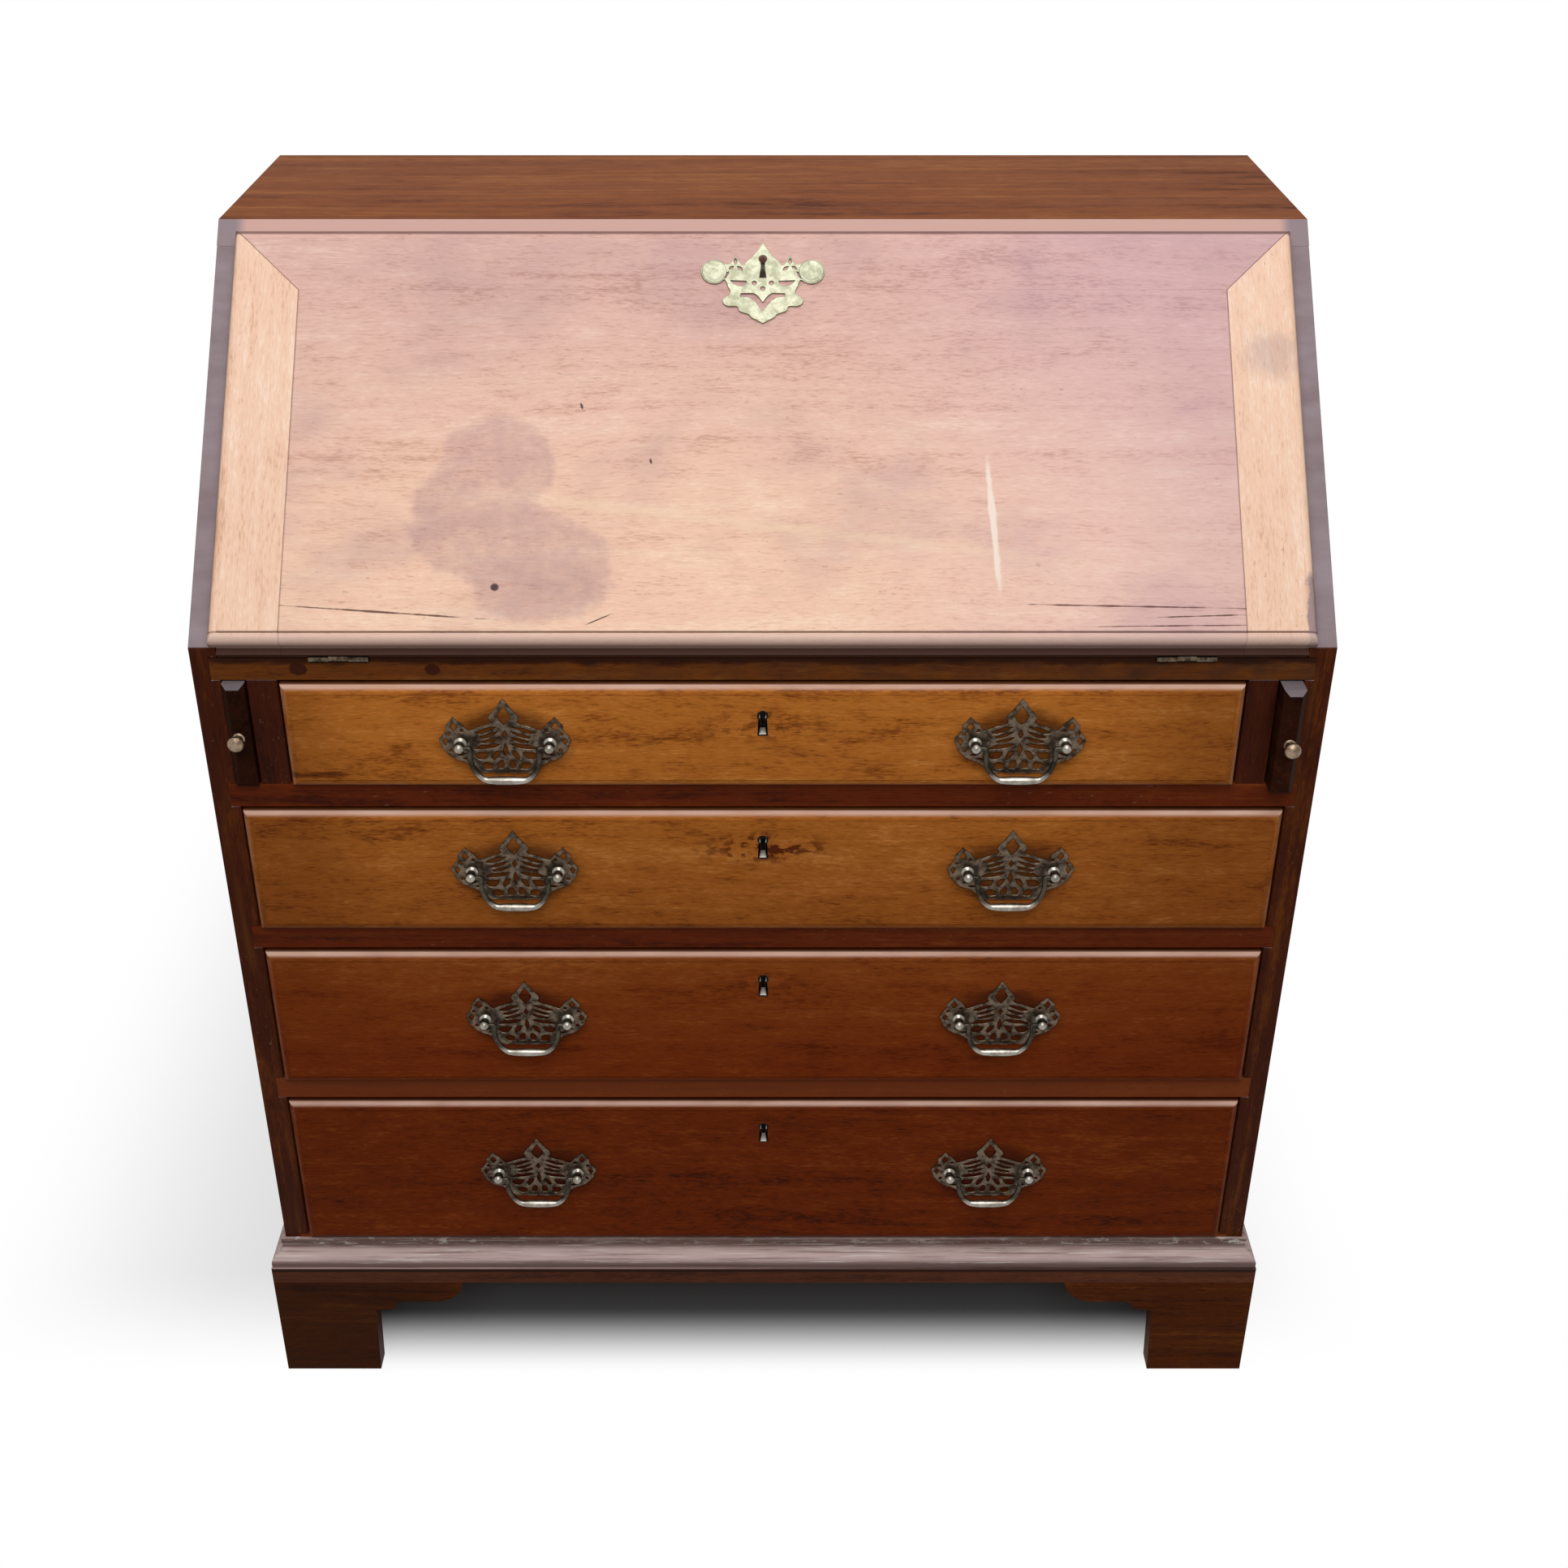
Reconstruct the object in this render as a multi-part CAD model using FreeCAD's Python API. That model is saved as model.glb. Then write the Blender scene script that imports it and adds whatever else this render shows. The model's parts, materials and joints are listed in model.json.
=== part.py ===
"""A slant-front bureau: a mahogany case of four long drawers on bracket feet, with a hinged writing fall,
two sliding lopers that carry the fall when it is open, and pigeonholes over small drawers behind it.

X runs to the right, Y from front to back and Z up, in millimetres. While it is modelled, Y is zero on the
front plane of the case. At the end everything is moved so that the origin is the middle of the footprint.
"""

import FreeCAD, Part
import math
import os

from FreeCAD import Placement, Rotation, Vector

# Flat sides of small round work, which repeats: few, so that the whole bureau stays light
rod_sides = 6
post_sides = 6
bail_sides = 6
knob_sides = 8

# Case
case_width = 915.0
case_depth = 500.0
side_thickness = 22.0
top_thickness = 18.0
bottom_thickness = 20.0
plinth_height = 29.0
desk_height = 263.0
bed_thickness = 20.0
hinge_rail_depth = 70.0
rail_thickness = 22.0
rail_depth = 48.0
dustboard_thickness = 10.0
housing_depth = 7.0
top_tongue_height = 6.0
top_tongue_thickness = 8.0
top_tongue_set_back = 60.0
back_thickness = 10.0
back_rebate = 11.0
back_board_count = 4
back_board_gap = 0.6

# Base moulding and bracket feet
foot_height = 116.0
moulding_height = 46.0
moulding_projection = 14.0
moulding_fascia = 18.0
moulding_quirk = 1.5
moulding_fillet = 4.0
moulding_ledge = 3.5
bracket_thickness = 20.0
bracket_length = 182.0
foot_width = 92.0
foot_flare = 3.0
bracket_step_height = 79.0
bracket_step_length = 19.0
bracket_cove = 9.0
bracket_flat_length = 30.0
rear_bracket_length = 120.0
rear_bracket_toe = 25.0
rear_bracket_tip_height = 90.0
foot_block_size = 42.0
foot_block_clearance = 3.0

# Long drawers, from the top one down
drawer_1_opening = 96.0
drawer_2_opening = 121.0
drawer_3_opening = 144.0
drawer_4_opening = 167.0
drawer_side_gap = 2.5
drawer_top_gap = 2.0
drawer_run_clearance = 0.4
front_thickness = 23.0
front_projection = 8.0
ovolo_radius = 6.5
ovolo_quirk = 1.2
ovolo_margin = 1.2
drawer_side_thickness = 10.0
drawer_back_thickness = 10.0
drawer_bottom_thickness = 7.0
drawer_bottom_rise = 9.0
drawer_groove_depth = 5.0
drawer_back_drop = 5.0
drawer_rear_gap = 14.0
dovetail_length = 12.0
dovetail_pitch = 46.0
dovetail_share = 0.36
dovetail_slope_ratio = 1 / 6

# Handles: a pierced plate, two posts through the drawer's front, and a swan-neck bail
handle_centre = 209.0
handle_rise = 2.0
top_handle_rise = -4.5
post_spacing = 73.0
plate_thickness = 1.8
plate_half_width = 53.5
plate_top = 41.0
plate_bottom = 28.5
post_pivot_distance = 8.5
post_head_radius = 4.8
post_head_length = 4.4
post_tip_radius = 2.6
post_neck_radius = 3.0
post_collar_radius = 5.6
post_collar_rise = 2.2
post_shank_radius = 2.5
shank_clearance = 0.2
bail_pin_radius = 2.0
bail_pin_clearance = 0.06
bail_radius = 2.2
bail_grip_radius = 3.6
bail_drop = 30.0
bail_head_gap = 0.4
bail_arm_gap = 4.5
bail_shoulder_radius = 4.0
bail_corner_half = 26.0
bail_corner_rise = 11.0
bail_corner_radius = 9.0
bail_foot_half = 19.5
bail_grip_half = 17.0

# Locks and keyholes
lock_width = 64.0
lock_height = 44.0
lock_depth = 10.0
drawer_key_drop = 26.0
fall_key_drop = 20.0
bolt_width = 22.0
bolt_thickness = 3.0
bolt_height = 14.0
bolt_clearance = 0.3
bolt_set_back = 0.6
bolt_travel = 8.0
bolt_recess = 0.5
mortise_clearance = 0.5
keyhole_eye_radius = 3.4
keyhole_waist = 1.8
keyhole_foot = 2.8
keyhole_pitch = 17.0
liner_wall = 1.5
liner_depth = 3.0

# Writing fall
slope_angle = 46.2
fall_thickness = 21.0
fall_inset = 6.0
fall_side_overlap = 4.5
fall_top_overlap = 9.0
fall_gap = 1.0
fall_lip_gap = 0.3
fall_foot_gap = 0.5
fall_lip_foot_gap = 6.5
fall_ovolo_radius = 7.5
cleat_width = 57.0
cleat_tongue_length = 12.0
cleat_tongue_thickness = 7.0
cleat_tongue_depth = 7.0
cleat_tongue_shoulder = 15.0
escutcheon_thickness = 1.6
escutcheon_half_width = 51.0
escutcheon_top = 24.5
escutcheon_bottom = 49.5
escutcheon_boss_radius = 11.0

# Fall hinges
hinge_cleat_gap = 21.0
hinge_length = 48.0
hinge_leaf_width = 30.0
hinge_leaf_thickness = 2.0
hinge_barrel_radius = 3.5
hinge_pin_radius = 1.4
hinge_pin_fit = 0.02
hinge_running_fit = 0.08
hinge_knuckles = 3
hinge_knuckle_gap = 0.3
hinge_notch_clearance = 0.4

# Lopers
loper_thickness = 18.0
loper_side_clearance = 1.5
loper_rest_gap = 0.2
loper_run_clearance = 0.3
loper_length = 440.0
loper_front_chamfer = 4.0
loper_pull = 11.0
loper_travel = 280.0
loper_knob_radius = 7.0
loper_knob_neck = 3.6
loper_knob_length = 15.0
loper_knob_pin = 8.0
loper_knob_dome = 4.0
muntin_width = 24.0
muntin_depth = 22.0
peg_radius = 5.0
peg_reach = 6.0
peg_socket = 10.0
peg_set_back = 22.0
peg_clearance = 0.5

# Fitted interior
unit_clearance = 10.0
inner_drawer_count = 4
inner_drawer_height = 62.0
inner_divider = 8.0
inner_shelf_thickness = 8.0
inner_gap = 0.6
inner_front_thickness = 12.0
inner_side_thickness = 6.0
inner_bottom_thickness = 4.0
inner_rear_gap = 6.0
inner_knob_radius = 6.0
inner_knob_neck = 3.0
inner_knob_length = 12.0
inner_knob_pin = 6.0
inner_knob_dome = 3.0
pigeonhole_count = 8
pigeonhole_divider = 6.0
valance_height = 40.0
valance_crown = 13.0
valance_spring = 26.0
valance_cusp = 9.0
valance_shoulder = 5.0
valance_thickness = 8.0
valance_set_back = 4.0

# Places worked out from the sizes above
half_width = case_width / 2
inner_half = half_width - side_thickness
housed_half = inner_half + housing_depth
back_face = case_depth - back_thickness
bottom_top = foot_height + plinth_height + bottom_thickness
openings = [drawer_1_opening, drawer_2_opening, drawer_3_opening, drawer_4_opening]
drawers = range(1, len(openings) + 1)
bed_underside = bottom_top + sum(openings) + rail_thickness * (len(openings) - 1)
bed_top = bed_underside + bed_thickness
top_underside = bed_top + desk_height
case_top = top_underside + top_thickness
front_inner = front_thickness - front_projection
moulding_half = half_width + moulding_projection

# The fall's inner face lies on the hinge axis, and the slope of the sides is set out from it by the inset.
slope = math.radians(slope_angle)
knee_height = bed_top + fall_inset / math.cos(slope)
fall_half = inner_half + fall_side_overlap
fall_body_half = inner_half - fall_gap
fall_body_end = (desk_height - fall_inset * math.cos(slope)) / math.sin(slope) - fall_gap
fall_end = fall_body_end + fall_gap + fall_top_overlap

hinge_centre = fall_half - cleat_width - hinge_cleat_gap - hinge_length / 2

muntin_outer = inner_half - loper_thickness - 2 * loper_side_clearance
muntin_inner = muntin_outer - muntin_width
loper_middle = inner_half - loper_side_clearance - loper_thickness / 2
loper_top = bed_top - fall_thickness - loper_rest_gap
unit_front = desk_height / math.tan(slope) + unit_clearance
inner_ceiling = bed_top + inner_drawer_height
shelf_top = inner_ceiling + inner_shelf_thickness


def slope_depth(height):
    """Y of the sloping edge of the sides at a height."""
    return (height - knee_height) / math.tan(slope)


def drawer_floor(number):
    """Height of the surface that a long drawer runs on, from drawer 1 at the top."""
    below = openings[number:]
    return bottom_top + sum(below) + rail_thickness * len(below)


def drawer_top(number):
    return drawer_floor(number) + openings[number - 1] - drawer_top_gap


def drawer_half(number):
    """Half the width of a long drawer: the top one runs between the loper partitions."""
    return (muntin_inner if number == 1 else inner_half) - drawer_side_gap


def handle_height(number):
    rise = top_handle_rise if number == 1 else handle_rise
    return drawer_floor(number) + openings[number - 1] / 2 + rise


# Ways of making a solid

def on_front(x, z):
    return Vector(x, 0, z)


def on_side(y, z):
    return Vector(0, y, z)


def on_plan(x, y):
    return Vector(x, y, 0)


def block(x0, x1, y0, y1, z0, z1):
    """A box between two corners."""
    return Part.makeBox(x1 - x0, y1 - y0, z1 - z0, Vector(x0, y0, z0))


def joined(first, *others):
    return first.fuse(list(others)).removeSplitter() if others else first


def ring(radius, sides):
    """Corners of a regular polygon about zero, as pairs."""
    angles = [math.pi * (2 * index + 1) / sides for index in range(sides)]
    return [(radius * math.cos(angle), radius * math.sin(angle)) for angle in angles]


def flat(corners):
    return Part.Face(Part.makePolygon(corners + corners[:1]))


def tube(rings):
    """A solid with flat sides through rings of corners, closed at both ends."""
    faces = [flat(rings[0]), flat(rings[-1])]
    for low, high in zip(rings, rings[1:]):
        sides = zip(low, low[1:] + low[:1], high[1:] + high[:1], high)
        faces += [flat(list(corners)) for corners in sides]
    solid = Part.Solid(Part.makeShell(faces))
    if solid.Volume < 0:
        solid.reverse()
    return solid


def turned(profile, sides, origin, direction):
    """A turned piece with flat sides, from the (radius, distance along the axis) of each of its rings."""
    solid = tube([[Vector(x, y, along) for x, y in ring(radius, sides)] for radius, along in profile])
    solid.Placement = Placement(origin, Rotation(Vector(0, 0, 1), direction))
    return solid


def rod(radius, length, start, direction, sides=rod_sides):
    """A round bar, its corners on the radius."""
    return turned([(radius, 0), (radius, length)], sides, start, direction)


def bore(radius, length, start, direction, sides=rod_sides):
    """A round hole, its flats on the radius, so that a rod of that radius turns in it."""
    return rod(radius / math.cos(math.pi / sides), length, start, direction, sides)


def is_arc(step):
    return isinstance(step[0], tuple)


def changed(steps, rule):
    """An outline's steps with a rule applied to every point."""
    return [tuple(rule(*point) for point in step) if is_arc(step) else rule(*step) for step in steps]


def outline(plane, steps):
    """A closed wire on a plane, from points for lines and pairs of points for arcs through the first."""
    edges = []
    here = plane(*steps[0])
    for step in list(steps[1:]) + [steps[0]]:
        end = plane(*(step[1] if is_arc(step) else step))
        if is_arc(step):
            edges.append(Part.Arc(here, plane(*step[0]), end).toShape())
        elif end.distanceToPoint(here) > 1e-6:
            edges.append(Part.LineSegment(here, end).toShape())
        here = end
    return Part.Wire(edges)


def prism(plane, steps, offset, length):
    """An outline on a plane, pushed along the plane's normal from an offset by a length."""
    face = Part.Face(outline(plane, steps))
    face.translate(offset)
    return face.extrude(length)


def front_prism(y0, y1, steps):
    """An outline in X and Z, from y0 to y1."""
    return prism(on_front, steps, Vector(0, y0, 0), Vector(0, y1 - y0, 0))


def side_prism(x0, x1, steps):
    """An outline in Y and Z, from x0 to x1."""
    return prism(on_side, steps, Vector(x0, 0, 0), Vector(x1 - x0, 0, 0))


def plan_prism(z0, z1, steps):
    """An outline in X and Y, from z0 to z1."""
    return prism(on_plan, steps, Vector(0, 0, z0), Vector(0, 0, z1 - z0))


def both_halves(half):
    """A whole outline from its right half, which runs from the middle of the top to that of the foot."""
    ends = [step[1] if is_arc(step) else step for step in half]
    left = []
    for step, end in zip(reversed(half[1:]), reversed(ends[:-1])):
        back = (-end[0], end[1])
        left.append(((-step[0][0], step[0][1]), back) if is_arc(step) else back)
    return list(half) + left


def mirrored(shape):
    """The same piece on the other side of the bureau."""
    return shape.mirror(Vector(0, 0, 0), Vector(1, 0, 0))


def both_sides(*shapes):
    return list(shapes) + [mirrored(shape) for shape in shapes]


def moved(shape, x, y, z):
    copy = shape.copy()
    copy.translate(Vector(x, y, z))
    return copy


def bend(before, corner, after, radius):
    """Three points of a path in the front plane that round off one of its corners."""
    into = (corner - before).normalize()
    away = (after - corner).normalize()
    half_turn = into.getAngle(away) / 2
    reach = radius * math.tan(half_turn)
    middle = corner + (away - into).normalize() * (radius / math.cos(half_turn) - radius)
    return [corner - into * reach, middle, corner + away * reach]


def bent_rod(stations, sides):
    """A rod along stations of (point in the front plane, radius), mitred at each one."""
    points = [point for point, radius in stations]
    normals = []
    for here, there in zip(points, points[1:]):
        run = there - here
        normals.append(Vector(-run.z, 0, run.x).normalize() if run.Length > 0 else normals[-1])
    rings = []
    for (point, radius), last, following in zip(stations, normals[:1] + normals, normals + normals[-1:]):
        mitre = (last + following) * (1 / (1 + last.dot(following)))
        rings.append([point + mitre * out + Vector(0, aside, 0) for out, aside in ring(radius, sides)])
    return tube(rings)


def on_fall(shape):
    """A piece of the fall, modelled upright with its hinge axis along X through zero, laid on the slope."""
    copy = shape.copy()
    place = Placement(Vector(0, 0, bed_top), Rotation(Vector(1, 0, 0), slope_angle - 90))
    copy.Placement = place.multiply(copy.Placement)
    return copy


def moulded_board(half, z0, z1, face, back, radius):
    """A board with a raised field, a quirk and an ovolo round the four edges of its face."""
    shoulder = face + ovolo_quirk
    slab = block(-half, half, shoulder, back, z0, z1)
    rounded = [edge for edge in slab.Edges if all(abs(v.Y - shoulder) < 1e-6 for v in edge.Vertexes)]
    slab = slab.makeFillet(radius, rounded)
    margin = radius + ovolo_margin
    field = block(-half + margin, half - margin, face, shoulder, z0 + margin, z1 - margin)
    return joined(slab, field)


# Case

def top_tongue():
    """The tongue along the right side's upper end, which the top is grooved for."""
    middle = inner_half + side_thickness / 2
    start = slope_depth(top_underside) + top_tongue_set_back
    return block(
        middle - top_tongue_thickness / 2, middle + top_tongue_thickness / 2, start, back_face,
        top_underside, top_underside + top_tongue_height)


def side_board():
    """The right side: its front edge slopes above the knee, and it is housed for the boards and rails."""
    board = side_prism(inner_half, half_width, [
        (0, foot_height), (case_depth, foot_height), (case_depth, top_underside),
        (slope_depth(top_underside), top_underside), (0, knee_height)])
    cuts = [
        block(inner_half, housed_half, 0, back_face, bottom_top - bottom_thickness, bottom_top),
        block(inner_half, housed_half, 0, back_face, bed_underside, bed_top),
        block(inner_half, inner_half + back_rebate, back_face, case_depth, foot_height, top_underside),
    ]
    for number in drawers[:-1]:
        floor = drawer_floor(number)
        cuts.append(block(inner_half, housed_half, 0, rail_depth, floor - rail_thickness, floor))
        cuts.append(block(inner_half, housed_half, rail_depth, back_face, floor - dustboard_thickness, floor))
    return joined(board, top_tongue()).cut(cuts)


def top_board():
    """The top: its front edge lies on the slope, and it is cut for tongues, the back and the fall's bolt."""
    board = side_prism(-half_width, half_width, [
        (slope_depth(top_underside), top_underside), (case_depth, top_underside),
        (case_depth, case_top), (slope_depth(case_top), case_top)])
    rebate = block(-inner_half - back_rebate, inner_half + back_rebate, back_face, case_depth,
                   top_underside, top_underside + top_tongue_height)
    return board.cut(both_sides(top_tongue()) + [rebate, on_fall(bolt_mortise(fall_body_end, 0))])


def back_boards():
    """Upright boards in the rebates at the back."""
    span = 2 * (inner_half + back_rebate)
    width = (span - back_board_gap * (back_board_count - 1)) / back_board_count
    boards = []
    for index in range(back_board_count):
        left = -span / 2 + index * (width + back_board_gap)
        boards.append(block(left, left + width, back_face, case_depth, foot_height,
                            top_underside + top_tongue_height))
    return boards


def housed_board(y0, y1, top, thickness):
    """A board across the case with its ends in the housings of the sides."""
    return block(-housed_half, housed_half, y0, y1, top - thickness, top)


def hinge_rail():
    """The rail under the fall: let in above for the hinges, and mortised below for the top drawer's bolt."""
    cuts = [bolt_mortise(drawer_top(1), front_inner)]
    for centre in (-hinge_centre, hinge_centre):
        cuts.append(moved(laid_back(hinge_bed()), centre, 0, bed_top))
    return housed_board(0, hinge_rail_depth, bed_top, bed_thickness).cut(cuts)


def drawer_rails():
    """The rails between the long drawers, each mortised for the bolt of the drawer below it."""
    rails = []
    for number in drawers[:-1]:
        rail = housed_board(0, rail_depth, drawer_floor(number), rail_thickness)
        rails.append(rail.cut(bolt_mortise(drawer_top(number + 1), front_inner)))
    return rails


def dustboards():
    """The boards behind the rails, level with them, that the drawers run on."""
    return [housed_board(rail_depth, back_face, drawer_floor(number), dustboard_thickness)
            for number in drawers[:-1]]


def loper_partitions():
    """A muntin and a guide on each side of the top drawer, with a slot in the guide for the loper's peg."""
    floor = drawer_floor(1)
    muntin = block(muntin_inner, muntin_outer, 0, muntin_depth, floor, bed_underside)
    guide = block(muntin_inner, muntin_outer, muntin_depth, back_face, floor, bed_underside)
    room = peg_radius + peg_clearance
    rearmost = loper_length - front_projection - peg_set_back
    middle = (floor + loper_top) / 2
    slot = block(
        muntin_outer - peg_reach, muntin_outer, rearmost - loper_travel - room, rearmost + room,
        middle - room, middle + room)
    return both_sides(muntin, guide.cut(slot))


# Base moulding and bracket feet

def moulding_steps():
    """The section of the base moulding, as (projection, height): a fascia, a quirk, an ogee and a fillet."""
    toe = moulding_projection - moulding_quirk
    low = moulding_fascia + moulding_quirk
    high = moulding_height - moulding_fillet
    middle = ((toe + moulding_ledge) / 2, (low + high) / 2)
    swell = (high - low) / 10
    lower = ((toe + middle[0]) / 2 + swell, (low + middle[1]) / 2 + swell / 2)
    upper = ((moulding_ledge + middle[0]) / 2 - swell, (high + middle[1]) / 2 - swell / 2)
    return [
        (0, 0), (moulding_projection, 0), (moulding_projection, moulding_fascia), (toe, moulding_fascia),
        (toe, low), (lower, middle), (upper, (moulding_ledge, high)), (moulding_ledge, moulding_height),
        (0, moulding_height)]


def base_moulding():
    """Three lengths of moulding round the case, mitred at the front corners."""
    out = moulding_projection
    base = foot_height
    top = base + moulding_height
    front = side_prism(-moulding_half, moulding_half, changed(
        moulding_steps(), lambda reach, rise: (-reach, base + rise)))
    side = front_prism(-out, case_depth, changed(
        moulding_steps(), lambda reach, rise: (half_width + reach, base + rise)))
    front_plan = plan_prism(base, top, [
        (-moulding_half, -out), (moulding_half, -out), (half_width, 0), (-half_width, 0)])
    side_plan = plan_prism(base, top, [
        (half_width, 0), (moulding_half, -out), (moulding_half, case_depth), (half_width, case_depth)])
    return [front.common(front_plan)] + both_sides(side.common(side_plan))


def bracket_steps():
    """The face of a bracket foot, as (distance from the corner, height)."""
    cusp = foot_width + foot_flare + bracket_step_length
    flat = cusp + bracket_cove
    flat_end = flat + bracket_flat_length
    shelf = bracket_step_height + foot_flare + bracket_cove
    inward = math.sqrt(0.5)
    cove = (flat - bracket_cove * inward, shelf - bracket_cove + bracket_cove * inward)
    brow_run = bracket_length - (bracket_length - flat_end) * (1 - inward)
    brow = (brow_run, shelf + (foot_height - shelf) * (1 - inward))
    return [
        (0, 0), (foot_width, 0), (foot_width + foot_flare, bracket_step_height),
        (cusp, bracket_step_height + foot_flare), (cove, (flat, shelf)), (flat_end, shelf),
        (brow, (bracket_length, foot_height)), (0, foot_height)]


def foot_block(inner, y0):
    """The glue block in the corner of a foot, a little clear of the floor."""
    return block(inner - foot_block_size, inner, y0, y0 + foot_block_size, foot_block_clearance, foot_height)


def front_feet():
    """Each front foot: a front and a side bracket mitred at the corner, and the block behind them."""
    edge = moulding_half
    face = -moulding_projection
    inner = edge - bracket_thickness
    back = face + bracket_thickness
    front = front_prism(face, back, changed(bracket_steps(), lambda run, rise: (edge - run, rise)))
    side = side_prism(inner, edge, changed(bracket_steps(), lambda run, rise: (face + run, rise)))
    front_plan = plan_prism(0, foot_height, [
        (edge, face), (inner, back), (edge - bracket_length, back), (edge - bracket_length, face)])
    side_plan = plan_prism(0, foot_height, [
        (edge, face), (edge, face + bracket_length), (inner, face + bracket_length), (inner, back)])
    return both_sides(front.common(front_plan), side.common(side_plan), foot_block(inner, back))


def rear_feet():
    """Each rear foot: a side bracket, a plain back bracket against it, and the block in their corner."""
    edge = moulding_half
    inner = edge - bracket_thickness
    face = case_depth - bracket_thickness
    side = side_prism(inner, edge, changed(bracket_steps(), lambda run, rise: (case_depth - run, rise)))
    tip = inner - rear_bracket_length
    back = front_prism(face, case_depth, [
        (inner, 0), (inner, foot_height), (tip, foot_height), (tip, rear_bracket_tip_height),
        (inner - rear_bracket_toe, 0)])
    return both_sides(side, back, foot_block(inner, face - foot_block_size))


# Locks

def keyhole(y0, y1, eye, spare):
    """A keyhole with its round eye at a height, over a slot that widens to its foot, grown by a spare."""
    waist = keyhole_waist + spare
    foot = keyhole_foot + spare
    low = eye - keyhole_pitch - spare
    slot = front_prism(y0, y1, [(-waist, eye), (-foot, low), (foot, low), (waist, eye)])
    return joined(rod(keyhole_eye_radius + spare, y1 - y0, Vector(0, y0, eye), Vector(0, 1, 0)), slot)


def bolt_bar(top, back, spare):
    """A lock's bolt at rest, widened by a spare, for a lock whose upper end and back are given."""
    rear = back - bolt_set_back
    return block(
        -bolt_width / 2 - spare, bolt_width / 2 + spare, rear - bolt_thickness - spare, rear + spare,
        top - bolt_recess - bolt_height - spare, top - bolt_recess)


def bolt_mortise(top, back):
    """The space above a lock that its bolt shoots into."""
    bar = bolt_bar(top, back, mortise_clearance)
    return joined(bar, moved(bar, 0, 0, bolt_travel + mortise_clearance))


def lock_recess(top, back):
    return block(-lock_width / 2, lock_width / 2, back - lock_depth, back, top - lock_height, top)


def lock_case(top, back):
    """A lock let in flush from behind, slotted at its upper end for the bolt."""
    bar = bolt_bar(top, back, bolt_clearance)
    return lock_recess(top, back).cut([bar, moved(bar, 0, 0, bolt_travel)])


# Long drawers

def dovetails(x0, x1, shoulder, end, z0, z1):
    """Tails on the end of a drawer side, widest at their end."""
    count = max(2, round((z1 - z0) / dovetail_pitch))
    spacing = (z1 - z0) / count
    wide = spacing * dovetail_share
    narrow = wide - abs(end - shoulder) * dovetail_slope_ratio
    tails = []
    for index in range(count):
        middle = z0 + (index + 0.5) * spacing
        tails.append(side_prism(x0, x1, [
            (shoulder, middle - narrow), (end, middle - wide),
            (end, middle + wide), (shoulder, middle + narrow)]))
    return tails


def handle_posts(number):
    """X and Z of the four posts on a drawer's face."""
    return [(side * handle_centre + post * post_spacing / 2, handle_height(number))
            for side in (-1, 1) for post in (-1, 1)]


def drawer_front(number, tails, groove):
    """A moulded front, cut behind for sides, bottom and lock, and pierced for the key and the posts."""
    face = -front_projection
    top = drawer_top(number)
    floor = drawer_floor(number)
    eye = top - drawer_key_drop
    lock_front = front_inner - lock_depth
    cuts = both_sides(*tails) + [groove, lock_recess(top, front_inner)]
    cuts.append(keyhole(face, lock_front, eye, liner_wall))
    shank = post_shank_radius + shank_clearance
    for x, z in handle_posts(number):
        cuts.append(bore(shank, front_thickness, Vector(x, face, z), Vector(0, 1, 0)))
    low = floor + drawer_run_clearance
    return moulded_board(drawer_half(number), low, top, face, front_inner, ovolo_radius).cut(cuts)


def drawer(number):
    """One long drawer: dovetailed at its corners, its bottom in grooves, running on its sides."""
    top = drawer_top(number)
    half = drawer_half(number)
    low = drawer_floor(number) + drawer_run_clearance
    rear = back_face - drawer_rear_gap
    rear_inner = rear - drawer_back_thickness
    bottom_low = low + drawer_bottom_rise
    bottom_high = bottom_low + drawer_bottom_thickness
    back_high = top - drawer_back_drop
    side_inner = half - drawer_side_thickness
    tail_end = front_inner - dovetail_length

    front_tails = dovetails(side_inner, half, front_inner, tail_end, low, top)
    back_tails = dovetails(side_inner, half, rear_inner, rear, bottom_high, back_high)
    front_pins = block(side_inner, half, tail_end, front_inner, low, top).cut(front_tails)
    back_pins = block(side_inner, half, rear_inner, rear, bottom_high, back_high).cut(back_tails)
    reach = side_inner + drawer_groove_depth
    bottom = block(-reach, reach, front_inner, rear, bottom_low, bottom_high)
    tongue_end = front_inner - drawer_groove_depth
    tongue = block(-side_inner, side_inner, tongue_end, front_inner, bottom_low, bottom_high)
    side = block(side_inner, half, tail_end, rear, low, top).cut([front_pins, back_pins, bottom])
    back = block(-half, half, rear_inner, rear, bottom_high, back_high).cut(both_sides(*back_tails))

    face = -front_projection
    eye = top - drawer_key_drop
    liner = keyhole(face, face + liner_depth, eye, liner_wall).cut(keyhole(face, face + liner_depth, eye, 0))
    height = handle_height(number)
    plates = [moved(handle_plate(), side * handle_centre, face, height) for side in (-1, 1)]
    fixings = []
    for x, z in handle_posts(number):
        fixings.append(moved(handle_post(), x, face, z))
    pivot = face - plate_thickness - post_pivot_distance

    name = f"drawer_{number}"
    node(f"{name}_front", drawer_front(number, front_tails, tongue))
    node(f"{name}_box", *both_sides(side), back, joined(bottom, tongue))
    node(f"{name}_lock", lock_case(top, front_inner), liner)
    node(f"{name}_lock_bolt", bolt_bar(top, front_inner, 0))
    node(f"{name}_handle_plates", *plates, *fixings)
    node(f"{name}_left_bail", moved(handle_bail(), -handle_centre, pivot, height))
    node(f"{name}_right_bail", moved(handle_bail(), handle_centre, pivot, height))


# Handles

def on_plate(wide, top, foot, shares):
    """Points from shares of a plate's half width and of its top or, below zero, of its foot."""
    return [(across * wide, up * (top if up > 0 else foot)) for across, up in shares]


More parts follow.
